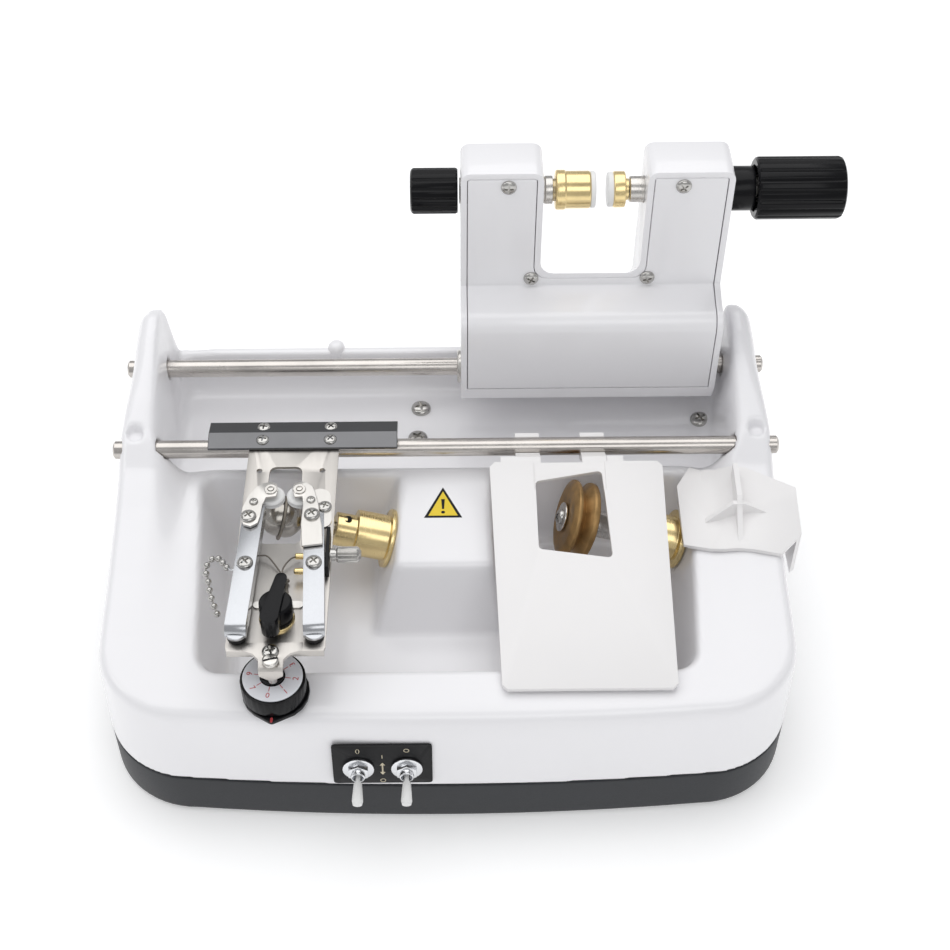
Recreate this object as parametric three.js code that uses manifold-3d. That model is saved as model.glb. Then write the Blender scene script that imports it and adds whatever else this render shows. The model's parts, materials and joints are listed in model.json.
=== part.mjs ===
// An optician's lens groover: a moulded body with two cross rails, a swinging lens head on the rear
// rail, a grooving carriage on the front rail, a chamfer wheel under a hinged work platform, and a
// depth dial. Millimetres, +Z up, +Y to the rear, +X to the right of a person at the bench. Pieces
// are laid out from the middle of the base; the group is then moved so that the origin is the
// bottom centre of the whole machine.

import * as THREE from 'three';
import { mergeVertices } from 'three/addons/utils/BufferGeometryUtils.js';
import Module from 'manifold-3d';

const wasm = await Module();
wasm.setup();

// ---------------------------------------------------------------- driving dimensions

const GAP = 0.3; // between pieces that touch
const WALL = 2.6; // moulded body
const BODY = { half: 144.6, front: -102.5, rear: 103.5, seam: 24, bottom: 1.4, peak: 117 };
const TAPER = 2.4; // the body is narrower by this much on each side at the back
const DRAFT = 5; // the front and rear walls lean in by this much from the seam to the top
const SIDE_DRAFT = 1.6; // and the side walls by this much
const LEAN = Math.atan(DRAFT / (BODY.peak - BODY.seam));
const RAIL_RADIUS = 4;
const RAIL_HALF = 146;
const FRONT_RAIL = { y: 29.8, z: 89 };
const REAR_RAIL = { y: 81, z: 90 };
const TROUGH = { half: 127, front: 28.5, rear: 95, floor: 63 };
const BASIN = { floor: 42, frontHalf: 104.5, rearHalf: 108.5, front: -78, rear: 24.5 };
const BLOCK = { left: -20, right: 19.5, front: -22, rear: 40 };
const SPINDLE_TILT = THREE.MathUtils.degToRad(17); // both wheel spindles rise to the left
const GROOVE = { x: -24.5, y: -1, z: 63.3, length: 48.2, wheelRadius: 9.7, hubRadius: 8.1 };
const CHAMFER = { x: 101.2, y: -1, z: 61.1, length: 52.7, wheelRadius: 17 };
const CARRIAGE = { x: -67, half: 19.5, rear: 36, front: -86, bottom: 93.8, top: 95.2 };
const ARM = { front: 15.2, rear: 12.2, wide: 4.2, pivotY: -79.2, endY: -15.8, bottom: 96.6, top: 103.3 };
const ROLLER = { out: 5.95, y: -9.5, radius: 5.6, bottom: 98.3, top: 101.7 };
const DIAL = { x: -69, y: -87.4, deck: 69.3, radius: 12.9, topRadius: 13.1, faceRadius: 11.9 };
const PIN = { x: -68.3, y: -91.4 }; // the depth pin, over the hub of the dial
const HEAD = { left: 7.2, right: 121.8, front: 83, back: 105, top: 196, hoodFront: 63, shelf: 133 };
const NOTCH = { left: 42, right: 85.5, bottom: 143, radius: 6 };
const CHUCK = { y: 95, z: 179 };
const PANEL = { x: -26.8, z: 41, width: 40.5, height: 25.5 };
const SWITCH_X = [-36.6, -16.9];
const SWITCH_DROP = -2; // below the middle of the panel

// ---------------------------------------------------------------- materials

const paint = (color, roughness, metalness = 0) =>
  new THREE.MeshStandardMaterial({ color, roughness, metalness });
const WHITE = paint(0xececec, 0.35);
const DARK_GREY = paint(0x3b3f45, 0.5);
const BLACK = paint(0x17171a, 0.4);
const RUBBER = paint(0x222222, 0.9);
const STEEL = paint(0xb9b6af, 0.3, 1);
const CHROME = paint(0xd5d8dc, 0.12, 1);
const BRASS = paint(0xc9a64d, 0.25, 1);
const BRONZE = paint(0x9a7036, 0.4, 1);
const NYLON = paint(0xf4f4f2, 0.5);
const DIAMOND = paint(0x8d8a80, 0.7, 0.6);
const GREEN = paint(0x2f6b45, 0.6);
const MOTOR = paint(0x8f9194, 0.45, 0.8);

// ---------------------------------------------------------------- solids

// A closed geometry as a solid. A lathe's seam on its axis leaves empty triangles, which go.
function solid(geometry) {
  const bare = geometry.clone();
  for (const name of Object.keys(bare.attributes)) {
    if (name !== 'position') bare.deleteAttribute(name);
  }
  const welded = mergeVertices(bare, 1e-4);
  const index = welded.index.array;
  const kept = [];
  for (let i = 0; i < index.length; i += 3) {
    const [a, b, c] = [index[i], index[i + 1], index[i + 2]];
    if (a !== b && b !== c && c !== a) kept.push(a, b, c);
  }
  const build = (triangles) => {
    const mesh = new wasm.Mesh({
      numProp: 3,
      vertProperties: welded.attributes.position.array,
      triVerts: new Uint32Array(triangles),
    });
    return new wasm.Manifold(mesh);
  };
  const made = build(kept);
  return made.volume() < 0 ? build(kept.reverse()) : made;
}

function geometryOf(shape) {
  const mesh = shape.getMesh();
  const indexed = new THREE.BufferGeometry();
  indexed.setAttribute('position', new THREE.Float32BufferAttribute(mesh.vertProperties, 3));
  indexed.setIndex([...mesh.triVerts]);
  const flat = indexed.toNonIndexed();
  flat.computeVertexNormals();
  return flat;
}

const joined = (...shapes) => shapes.reduce((sum, shape) => sum.add(shape));

function box(x0, x1, y0, y1, z0, z1) {
  const geometry = new THREE.BoxGeometry(x1 - x0, y1 - y0, z1 - z0);
  return solid(geometry.translate((x0 + x1) / 2, (y0 + y1) / 2, (z0 + z1) / 2));
}

const ONTO_AXIS = {
  x: new THREE.Matrix4().makeRotationZ(-Math.PI / 2),
  y: new THREE.Matrix4(),
  z: new THREE.Matrix4().makeRotationX(Math.PI / 2),
};

// A profile of [radius, height] points, from axis to axis, turned about a line along x, y or z.
function turned(profile, axis, at = [0, 0, 0], sides = 28) {
  const points = profile.map(([radius, height]) => new THREE.Vector2(radius, height));
  const geometry = new THREE.LatheGeometry(points, sides);
  return solid(geometry.applyMatrix4(ONTO_AXIS[axis]).translate(...at));
}

// A cylinder along x, y or z between two heights; at gives its axis line.
function rod(radius, from, to, axis, at = [0, 0, 0], sides = 24, bevel = 0) {
  const profile = [[0, from], [radius - bevel, from], [radius, from + bevel]];
  profile.push([radius, to - bevel], [radius - bevel, to], [0, to]);
  const plain = [[0, from], [radius, from], [radius, to], [0, to]];
  return turned(bevel ? profile : plain, axis, at, sides);
}

const PLANES = {
  xy: new THREE.Matrix4(),
  yz: new THREE.Matrix4().makeBasis(
    new THREE.Vector3(0, 1, 0), new THREE.Vector3(0, 0, 1), new THREE.Vector3(1, 0, 0)),
  xz: new THREE.Matrix4().makeBasis(
    new THREE.Vector3(1, 0, 0), new THREE.Vector3(0, 0, 1), new THREE.Vector3(0, -1, 0)),
};

// An outline drawn in a plane and pushed out square to it, from one distance to another.
function prism(outline, plane, from, to) {
  const shape = new THREE.Shape(outline.map(([u, v]) => new THREE.Vector2(u, v)));
  const geometry = new THREE.ExtrudeGeometry(shape, { depth: to - from, bevelEnabled: false });
  const start = plane === 'xz' ? -to : from;
  return solid(geometry.translate(0, 0, start).applyMatrix4(PLANES[plane]));
}

function arc(u, v, radius, startDegrees, endDegrees, steps = 6) {
  const points = [];
  for (let i = 0; i <= steps; i += 1) {
    const angle = THREE.MathUtils.degToRad(startDegrees + ((endDegrees - startDegrees) * i) / steps);
    points.push([u + radius * Math.cos(angle), v + radius * Math.sin(angle)]);
  }
  return points;
}

function roundedBox(u0, u1, v0, v1, radius, steps = 4) {
  return [
    ...arc(u1 - radius, v1 - radius, radius, 0, 90, steps),
    ...arc(u0 + radius, v1 - radius, radius, 90, 180, steps),
    ...arc(u0 + radius, v0 + radius, radius, 180, 270, steps),
    ...arc(u1 - radius, v0 + radius, radius, 270, 360, steps),
  ];
}

// The outline of a strap that wraps the given [u, v, radius] circles.
function strap(circles, steps = 16) {
  const points = circles.flatMap(([u, v, radius]) => arc(u, v, radius, 0, 360, steps).slice(1));
  points.sort((a, b) => a[0] - b[0] || a[1] - b[1]);
  const turn = (a, b, c) => (b[0] - a[0]) * (c[1] - a[1]) - (b[1] - a[1]) * (c[0] - a[0]);
  const half = (ordered) => {
    const kept = [];
    for (const point of ordered) {
      while (kept.length > 1 && turn(kept.at(-2), kept.at(-1), point) <= 1e-9) kept.pop();
      kept.push(point);
    }
    return kept.slice(0, -1);
  };
  return [...half(points), ...half([...points].reverse())];
}

// A closed skin over [height, outline] sections that all have the same number of points.
function loft(sections) {
  const count = sections[0][1].length;
  const positions = sections.flatMap(([z, outline]) => outline.flatMap(([x, y]) => [x, y, z]));
  const index = [];
  for (let ring = 0; ring + 1 < sections.length; ring += 1) {
    for (let i = 0; i < count; i += 1) {
      const a = ring * count + i;
      const b = ring * count + ((i + 1) % count);
      index.push(a, b, b + count, a, b + count, a + count);
    }
  }
  const last = (sections.length - 1) * count;
  for (let i = 1; i + 1 < count; i += 1) {
    index.push(0, i + 1, i, last, last + i, last + i + 1);
  }
  const geometry = new THREE.BufferGeometry();
  geometry.setAttribute('position', new THREE.Float32BufferAttribute(positions, 3));
  geometry.setIndex(index);
  return solid(geometry);
}

// The solid between a flat floor and a height given over a grid of stations.
function relief(xs, ys, floor, height) {
  const positions = [];
  for (const y of ys) for (const x of xs) positions.push(x, y, floor);
  for (const y of ys) for (const x of xs) positions.push(x, y, height(x, y));
  const top = xs.length * ys.length;
  const index = [];
  const wall = (a, b) => index.push(a, b, b + top, a, b + top, a + top);
  for (let j = 0; j + 1 < ys.length; j += 1) {
    for (let i = 0; i + 1 < xs.length; i += 1) {
      const a = j * xs.length + i;
      const b = a + xs.length;
      index.push(a, b + 1, a + 1, a, b, b + 1);
      index.push(top + a, top + a + 1, top + b + 1, top + a, top + b + 1, top + b);
    }
  }
  for (let i = 0; i + 1 < xs.length; i += 1) {
    wall(i, i + 1);
    wall(top - 1 - i, top - 2 - i);
  }
  for (let j = 0; j + 1 < ys.length; j += 1) {
    wall((j + 1) * xs.length, j * xs.length);
    wall((j + 1) * xs.length - 1, (j + 2) * xs.length - 1);
  }
  const geometry = new THREE.BufferGeometry();
  geometry.setAttribute('position', new THREE.Float32BufferAttribute(positions, 3));
  geometry.setIndex(index);
  return solid(geometry);
}

const machine = new THREE.Group();

function place(name, shape, material, parent = machine) {
  const mesh = new THREE.Mesh(geometryOf(shape), material);
  mesh.name = name;
  parent.add(mesh);
  return mesh;
}

// ---------------------------------------------------------------- body

// The body in plan: a bowed front, big front corners and small rear ones. level is 0 at the seam and
// 1 at the peak, where the walls have leaned in by their draft.
function bodyOutline(inset, level = 0, steps = 6) {
  const half = BODY.half - inset - level * SIDE_DRAFT;
  const front = BODY.front + inset + level * DRAFT;
  const rear = BODY.rear - inset - level * DRAFT;
  const big = 38 - inset - level * SIDE_DRAFT;
  const small = 14 - inset - level * SIDE_DRAFT;
  const bow = 4.5;
  const flat = half - big;
  const points = [];
  for (let i = -3; i <= 3; i += 1) {
    points.push([(flat * i) / 3.4, front + bow * (i / 3.4) ** 2]);
  }
  points.push(...arc(flat, front + bow + big, big, -90, 0, steps));
  points.push([half, 25], ...arc(half - TAPER - small, rear - small, small, 0, 90, steps));
  points.push(...arc(small - half + TAPER, rear - small, small, 90, 180, steps), [-half, 25]);
  points.push(...arc(-flat, front + bow + big, big, 180, 270, steps));
  return points;
}

// A height read off straight lines between [y, z] points.
function along(profile, y) {
  const next = profile.findIndex(([at]) => at > y);
  if (next <= 0) return next === 0 ? profile[0][1] : profile.at(-1)[1];
  const [[y0, z0], [y1, z1]] = [profile[next - 1], profile[next]];
  return z0 + ((z1 - z0) * (y - y0)) / (y1 - y0);
}

const CREASE = [[-106, 56], [-102.5, 58], [-100.3, 63], [-97, 66], [-92, 67.4]];
const CHEEK = [
  ...CREASE, [-60, 71], [-30, 76], [0, 83], [18, 89], [30, 97], [45, 104], [60, 110], [75, 115],
  [88, BODY.peak], [96, 114], [101, 107], [105, 92],
];
const DECK = [...CREASE, [28, 78.5], [60, 84], [92, 87], [101, 87], [103.5, 82], [105, 78]];

const smooth = (from, to, value) => THREE.MathUtils.smoothstep(value, from, to);

// The top of the body: a sloping deck in the middle and a rounded cheek along each side.
function bodyTop(x, y) {
  const side = Math.abs(x);
  const cheek = smooth(112 + 12 * smooth(40, 80, y), 129, side);
  const high = smooth(25, 70, y);
  const crown = THREE.MathUtils.clamp((side - 139 + 7 * high) / (5 + 5 * high), 0, 1);
  const round = (4 + 15 * high) * (1 - Math.sqrt(1 - 0.98 * crown ** 2));
  return THREE.MathUtils.lerp(along(DECK, y), along(CHEEK, y), cheek) - round;
}

function bodySolid(inset, floor) {
  const skin = loft([[floor, bodyOutline(inset)], [BODY.peak + 1, bodyOutline(inset, 1)]]);
  const halfXs = [112, 118, 124, 129, 132.5, 136.5, 139.5, 141.5, 143, 150];
  const xs = [...halfXs.map((x) => -x).reverse(), 0, ...halfXs];
  const ys = [-110, -102.5, -100.3, -97, -92, -60, -30, 0, 18, 30, 45, 60, 75, 88, 96, 101, 104.5];
  return skin.intersect(relief(xs, ys, floor - 1, (x, y) => bodyTop(x, y) - inset));
}

function troughSpace(grow) {
  const section = (half, front, rear) =>
    roundedBox(-half - grow, half + grow, front - grow, rear + grow, 8 + grow, 3);
  return loft([
    [TROUGH.floor - grow, section(TROUGH.half - 3, TROUGH.front + 1.5, TROUGH.rear - 1.5)],
    [130, section(TROUGH.half + 0.5, TROUGH.front - 4, TROUGH.rear + 1)],
  ]);
}

// The wet basin, with the motor block standing in its middle. Its side walls, and the block's, are
// square to the spindles that come through them.
function basinSpace(grow) {
  const lean = (z) => (79 - z) * Math.tan(SPINDLE_TILT);
  const basin = (z, extra, radius) => {
    const ratio = BASIN.frontHalf / BASIN.rearHalf;
    const half = BASIN.rearHalf + grow - lean(z);
    const [front, rear] = [BASIN.front - grow + extra, BASIN.rear + grow - extra];
    const outline = roundedBox(-half, half, front, rear, radius, 3);
    const taper = (y) => THREE.MathUtils.lerp(ratio, 1, (y - BASIN.front) / (BASIN.rear - BASIN.front));
    return outline.map(([x, y]) => [x * taper(y), y]);
  };
  const block = (z, forward) =>
    roundedBox(BLOCK.left + grow - lean(z), BLOCK.right - grow + lean(z) / 2,
      BLOCK.front + grow - forward, BLOCK.rear, 6, 3);
  const floor = BASIN.floor - grow;
  const space = loft([[floor, basin(floor, 7, 13)], [79, basin(79, 0, 7)], [90, basin(79, 0, 7)]]);
  return space.subtract(loft([[floor - 1, block(floor - 1, 16)], [79, block(79, 0)], [95, block(79, 0)]]));
}

// A straight hole along a spindle, through the wall that it comes out of.
function spindleHole(spindle, radius) {
  return rod(radius, -12, 6, 'z').rotate([0, THREE.MathUtils.radToDeg(SPINDLE_TILT) - 90, 0])
    .translate([spindle.x, spindle.y, spindle.z]);
}

function shellHoles() {
  const cuts = [];
  for (const rail of [FRONT_RAIL, REAR_RAIL]) {
    cuts.push(rod(RAIL_RADIUS + GAP, -160, 160, 'x', [0, rail.y, rail.z]));
  }
  cuts.push(spindleHole(GROOVE, 6.5), spindleHole(CHAMFER, 6.5));
  for (const x of SWITCH_X) cuts.push(rod(3.3, -110, -90, 'y', [x, 0, PANEL.z + SWITCH_DROP]));
  cuts.push(rod(3.4, 50, 80, 'z', [DIAL.x, DIAL.y, 0]));
  cuts.push(box(-95.5, -64.5, 95, 110, 33.5, 56.5));
  return joined(...cuts);
}

function makeBody() {
  const outer = bodySolid(0, BODY.seam + GAP).subtract(troughSpace(0)).subtract(basinSpace(0));
  const inner = bodySolid(WALL, BODY.seam - 4)
    .subtract(troughSpace(WALL))
    .subtract(basinSpace(WALL));
  place('top_shell', outer.subtract(inner).subtract(shellHoles()), WHITE);

  const pan = loft([[BODY.bottom, bodyOutline(0.8)], [2.4, bodyOutline(0)], [BODY.seam, bodyOutline(0)]]);
  const hollow = loft([[BODY.bottom + WALL, bodyOutline(4)], [30, bodyOutline(WALL + 0.2)]]);
  place('base_pan', pan.subtract(hollow), DARK_GREY);

  for (const [end, y] of [['front', -72], ['rear', 78]]) {
    for (const [side, x] of [['left', -112], ['right', 112]]) {
      const profile = [[0, 0], [8.5, 0], [9, 0.5], [9, BODY.bottom - GAP], [0, BODY.bottom - GAP]];
      place(`foot_${end}_${side}`, turned(profile, 'z', [x, y, 0], 20), RUBBER);
    }
  }
}

function makeRails() {
  for (const [name, rail] of [['front_rail', FRONT_RAIL], ['rear_rail', REAR_RAIL]]) {
    place(name, rod(RAIL_RADIUS, -RAIL_HALF, RAIL_HALF, 'x', [0, rail.y, rail.z], 24, 0.8), STEEL);
  }
}

// ---------------------------------------------------------------- switches and supply

// The panel and its two toggle switches, laid out square to the leaning front wall.
function makeSwitches() {
  const wall = new THREE.Group();
  wall.position.set(0, BODY.front + (PANEL.z - BODY.seam) * Math.tan(LEAN) - GAP, PANEL.z);
  wall.rotation.x = -LEAN;
  machine.add(wall);
  const { x: middle, width, height } = PANEL;
  const outline = roundedBox(middle - width / 2, middle + width / 2, -height / 2, height / 2, 1.5, 3);
  const holes = SWITCH_X.map((x) => rod(3.3, -3, 3, 'y', [x, 0, SWITCH_DROP]));
  place('switch_panel', prism(outline, 'xz', -0.7, -0.1).subtract(joined(...holes)), BLACK, wall);

  for (const [i, name] of ['lens_switch', 'wheel_switch'].entries()) {
    const at = [SWITCH_X[i], 0, SWITCH_DROP];
    const [x, , z] = at;
    const inside = box(x - 4, x + 4, 4.4, 15, z - 6.5, z + 6.5);
    const bushing = rod(2.95, -6.2, 6, 'y', at, 18, 0.3);
    const washer = rod(6.4, -2, -1, 'y', at, 24);
    const nut = rod(4.6, -4.2, -1.9, 'y', at, 6);
    const mouth = rod(2.3, -7, -1.6, 'y', at, 16);
    place(name, joined(inside, bushing, washer, nut).subtract(mouth), STEEL, wall);

    const pivot = new THREE.Group();
    pivot.position.set(x, -3, z);
    pivot.rotation.x = THREE.MathUtils.degToRad(12.5);
    wall.add(pivot);
    const lever = [[0, -15], [1.9, -14.2], [2.3, -12.6], [1.7, -5], [1, -4.4], [1, 0], [0, 0.4]];
    place(`${name}_lever`, turned(lever, 'y', [0, 0, 0], 14), NYLON, pivot);
  }
}

function makeSupply() {
  const socket = box(-95, -65, 94, 103.6, 34, 56);
  const lip = box(-99, -61, 104.3, 106, 31, 59);
  const recess = box(-89, -71, 98, 108, 38, 52);
  place('power_inlet', joined(socket, box(-95, -65, 103, 105, 34, 56), lip).subtract(recess), BLACK);
  const core = box(-104, -66, 34, 70, 4.5, 36);
  const winding = box(-98, -72, 30, 74, 10, 32);
  place('transformer', joined(core, winding), MOTOR);
  const board = box(-45, 45, 42, 88, 9, 10.6);
  const parts = [
    box(-38, -20, 50, 62, 10.6, 24), box(0, 12, 60, 80, 10.6, 18), rod(5, 10.6, 28, 'z', [30, 58, 0]),
  ];
  const corners = [[-40, 46], [40, 46], [-40, 84], [40, 84]];
  const posts = corners.map(([x, y]) => rod(2, 4.3, 9, 'z', [x, y, 0], 10));
  place('circuit_board', joined(board, ...parts, ...posts), GREEN);
}

// ---------------------------------------------------------------- spindles and wheels

// A group whose +Z runs out of the wall along a spindle.
function spindleGroup(spindle) {
  const group = new THREE.Group();
  group.position.set(spindle.x, spindle.y, spindle.z);
  group.rotation.y = SPINDLE_TILT - Math.PI / 2;
  machine.add(group);
  return group;
}

function spindleHousing(steps) {
  const outside = steps.map(([radius, from, to]) => rod(radius, from, to, 'z', [0, 0, 0], 24));
  return joined(...outside).subtract(rod(3.3, -20, 80, 'z', [0, 0, 0], 16));
}

function makeGrooveSpindle() {
  const group = spindleGroup(GROOVE);
  const steps = [[6, -6, 1], [13, GAP, 2.4], [10, 2.3, 16.5], [7.3, 16.4, 25.5]];
  place('groove_housing', spindleHousing(steps), BRASS, group);
  place('groove_motor', joined(
    rod(10.3, -42, -10, 'z', [0, 0, 0], 24, 1),
    rod(4.5, -10.1, -6.3, 'z', [0, 0, 0], 16),
  ).subtract(rod(3.2, -20, 0, 'z', [0, 0, 0], 16)), MOTOR, group);
  const mid = GROOVE.length;
  const r = GROOVE.hubRadius;
  const lobe = (face, out) => turned([
    [0, face], [r, face], [r, face + out * 1.6], [r - 0.9, face + out * 4.4], [r - 3.2, face + out * 6.8],
    [3.6, face + out * 7.8], [0, face + out * 7.8],
  ], 'z', [0, 0, 0], 24);
  place('groove_spindle', joined(
    rod(2.9, -18, mid + 4, 'z', [0, 0, 0], 16),
    lobe(mid - GAP, -1),
    lobe(mid + 1 + GAP, 1),
  ), STEEL, group);
  const wheel = rod(GROOVE.wheelRadius, mid, mid + 1, 'z', [0, 0, 0], 40);
  place('groove_wheel', wheel.subtract(rod(3.2, mid - 2, mid + 2, 'z', [0, 0, 0], 16)), DIAMOND, group);
}

function makeChamferSpindle() {
  const group = spindleGroup(CHAMFER);
  const steps = [[6, -6, 1], [13, GAP, 3], [10, 2.9, 9]];
  place('chamfer_housing', spindleHousing(steps), BRASS, group);
  place('chamfer_motor', joined(
    rod(13, -36, -9.5, 'z', [0, 0, 0], 24, 1),
    rod(4.5, -9.6, -6.3, 'z', [0, 0, 0], 16),
  ).subtract(rod(3.2, -20, 0, 'z', [0, 0, 0], 16)), MOTOR, group);
  const end = CHAMFER.length;
  place('chamfer_spindle', joined(
    rod(2.9, -18, end + 1, 'z', [0, 0, 0], 16),
    rod(5.8, end - 30, end - 12.3, 'z', [0, 0, 0], 24, 0.4)
      .subtract(rod(1.6, -8, 8, 'x', [0, 0, end - 22], 10)),
    rod(6.4, end + GAP, end + 1.4, 'z', [0, 0, 0], 24, 0.2),
    rod(4, end + 1.3, end + 3.2, 'z', [0, 0, 0], 20, 0.8),
  ), STEEL, group);
  const r = CHAMFER.wheelRadius;
  const profile = [[3.2, end - 12], [14, end - 12], [r, end - 10.4], [r, end - 8.6], [r - 4.2, end - 5.6],
    [r, end - 2.6], [r, end - 1], [14, end], [3.2, end], [3.2, end - 12]];
  place('chamfer_wheel', turned(profile, 'z', [0, 0, 0], 40), BRONZE, group);
}

// ---------------------------------------------------------------- depth dial

function makeDial() {
  const { x, y, deck, radius, topRadius, faceRadius } = DIAL;
  const teardrop = strap([[x + 0.6, y, radius + 0.6], [x - 0.2, y - 12.9, 2.2]], 20);
  const base = prism(teardrop, 'xy', deck, deck + 1.8);
  place('dial_pointer_base', base.subtract(rod(3.4, 60, 80, 'z', [x, y, 0])), BLACK);
  const low = deck + 1.8 + GAP;
  const top = low + 8.4;
  const body = [
    [0, low], [radius, low], [radius, low + 1.2], [topRadius, top], [4.8, top], [4.8, top + 2.4],
    [0, top + 2.4],
  ];
  const stem = rod(3, 56, low + 1, 'z', [x, y, 0], 16);
  place('depth_knob', turned(body, 'z', [x, y, 0], 36).add(stem), BLACK);
  const scale = rod(faceRadius, top + GAP, top + GAP + 0.7, 'z', [x, y, 0], 36);
  place('dial_scale', scale.subtract(rod(5.1, top - 1, top + 3, 'z', [x, y, 0])), NYLON);
}

// ---------------------------------------------------------------- grooving carriage

// The front tongue of the plate: it narrows, slopes down and ends in a pointed tab.
function makeTongue() {
  const { x, y } = PIN;
  const { front, bottom, top } = CARRIAGE;
  const under = [[front + 4, bottom], [front - 2.4, bottom], [y - 2, 92.6], [y - 2.4, 87.6]];
  const over = [
    [y - 3.7, 87.8], [y - 3.2, 93.3], [y - 1.6, 94.2], [front - 3, top + 0.1], [front + 4, top + 0.1],
  ];
  const sheet = prism([...under, ...over], 'yz', x - 12, x + 12);
  const bell = prism([
    [x - 12, front + 5], [x - 12, front + 0.4], [x - 7.4, front - 1.2], [x - 4.9, y + 1.5], [x - 4.6, y - 6],
    [x + 4.6, y - 6], [x + 4.9, y + 1.5], [x + 7.4, front - 1.2], [x + 12, front + 0.4], [x + 12, front + 5],
  ], 'xy', 70, 110);
  const point = prism([
    [x - 12, 110], [x - 12, 90.6], [x - 4.6, 90.6], [x, 87.6], [x + 4.6, 90.6], [x + 12, 90.6], [x + 12, 110],
  ], 'xz', y - 10, y + 20);
  return sheet.intersect(bell).intersect(point);
}

function makeCarriage() {
  const { x, half, rear, front, bottom, top } = CARRIAGE;
  const skew = ([u, v]) => [u + (1.2 * (v - front)) / (rear - front), v];
  const sheet = prism(roundedBox(x - half, x + half, front, rear, 2).map(skew), 'xy', bottom, top);
  const lip = box(x - half + 0.5, x + half - 0.5, front, front + 1.4, 91.6, top);
  const window = prism(strap([
    [x - 5.6, 9.7, 3], [x + 2.4, 9.7, 3], [x - 7.6, -28.5, 2.5], [x + 4.3, -28.5, 2.5],
  ]), 'xy', 90, 99);
  const holes = [-13, 14].map((dx) => rod(1.3, 90, 99, 'z', [x + dx, 10.5, 0], 12));
  const pinHole = rod(2.1, 80, 99, 'z', [PIN.x, PIN.y, 0], 16);
  const plate = joined(sheet, lip, makeTongue()).subtract(joined(window, pinHole, ...holes));
  place('carriage_plate', plate, STEEL);

  const fold = [
    [22.6, top + 0.2], [30.4, 97.2], [38.2, top + 0.5], [38.4, top + 1.8], [30.4, 98.6], [22.4, top + 1.5],
  ];
  place('rail_bracket', prism(fold, 'yz', x - 36.4, x + 46), CHROME);

  const pin = [[0, 82.6], [1, 82.6], [1.9, 83.6], [1.9, 95.5], [3.2, 95.5], [3.2, 96.8], [0, 97.3]];
  place('depth_pin', turned(pin, 'z', [PIN.x, PIN.y, 0], 16), STEEL);

  for (const [side, at] of [['left', x - 12], ['right', x + 13]]) {
    const block = box(at - 5, at + 5, FRONT_RAIL.y - 6, FRONT_RAIL.y + 6, 82.5, bottom - 0.1 - GAP);
    const bore = rod(RAIL_RADIUS + 0.06, at - 9, at + 9, 'x', [0, FRONT_RAIL.y, FRONT_RAIL.z], 48);
    place(`carriage_bush_${side}`, block.subtract(bore), BLACK);
  }
}

// The thumb screw that trims the right arm, in a bush beside it.
function makeFineAdjuster() {
  const x = CARRIAGE.x;
  const axis = [0, -40.8, 99.4];
  const block = box(x + 18.1, x + 19.6, -50, -28.5, 96.2, 102.8);
  const hole = rod(1.6, x + 15, x + 25, 'x', axis, 12);
  place('fine_adjust_block', block.subtract(hole), BLACK);
  const thread = rod(1.3, x + 18.2, x + 22, 'x', axis, 12);
  const grip = rod(3.3, x + 19.9, x + 32.4, 'x', axis, 24, 0.6);
  place('fine_adjust_screw', thread.add(grip), STEEL);
}

function makeSelector() {
  const x = CARRIAGE.x - 0.1;
  const y = -69.5;
  const low = CARRIAGE.top + GAP;
  const collar = rod(6.2, low, low + 2.8, 'z', [x, y, 0], 24);
  const round = [[0, low + 2.7], [6.8, low + 2.7], [6.6, low + 9], [5.8, low + 10], [0, low + 10]];
  const bar = prism(strap([[x + 1.9, y + 9.5, 2.4], [x - 1.6, y - 9.5, 3.6]]), 'xy', low + 3.6, low + 13);
  place('selector_knob', joined(collar, turned(round, 'z', [x, y, 0], 28), bar), BLACK);
}

// The finger plates in plan, from the middle of the roller that each one holds.
const LEFT_FINGER = [
  [0, 4.6], [-3, 3.8], [-6, 1.8], [-8.9, -2.9], [-10.9, -9.5], [-11.2, -15.5], [-10, -19], [-7, -20.2],
  [-4.2, -18.4], [-3.4, -14.3], [-3, -8.4], [-1.8, -4.2], [2.2, -3.6], [3, 0], [2.2, 3.3],
];
const RIGHT_FINGER = [
  [0, 4.7], [-2.6, 3.6], [-3, 0], [-1.8, -4.2], [1.4, -3.8], [1.9, -8.4], [1.7, -14.3], [1.6, -19],
  [2.6, -31], [11.2, -29.8], [10.4, -20.2], [9.4, -15.5], [8.4, -8.4], [7, -2.4], [5.6, 1.8], [3, 4.2],
];

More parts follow.
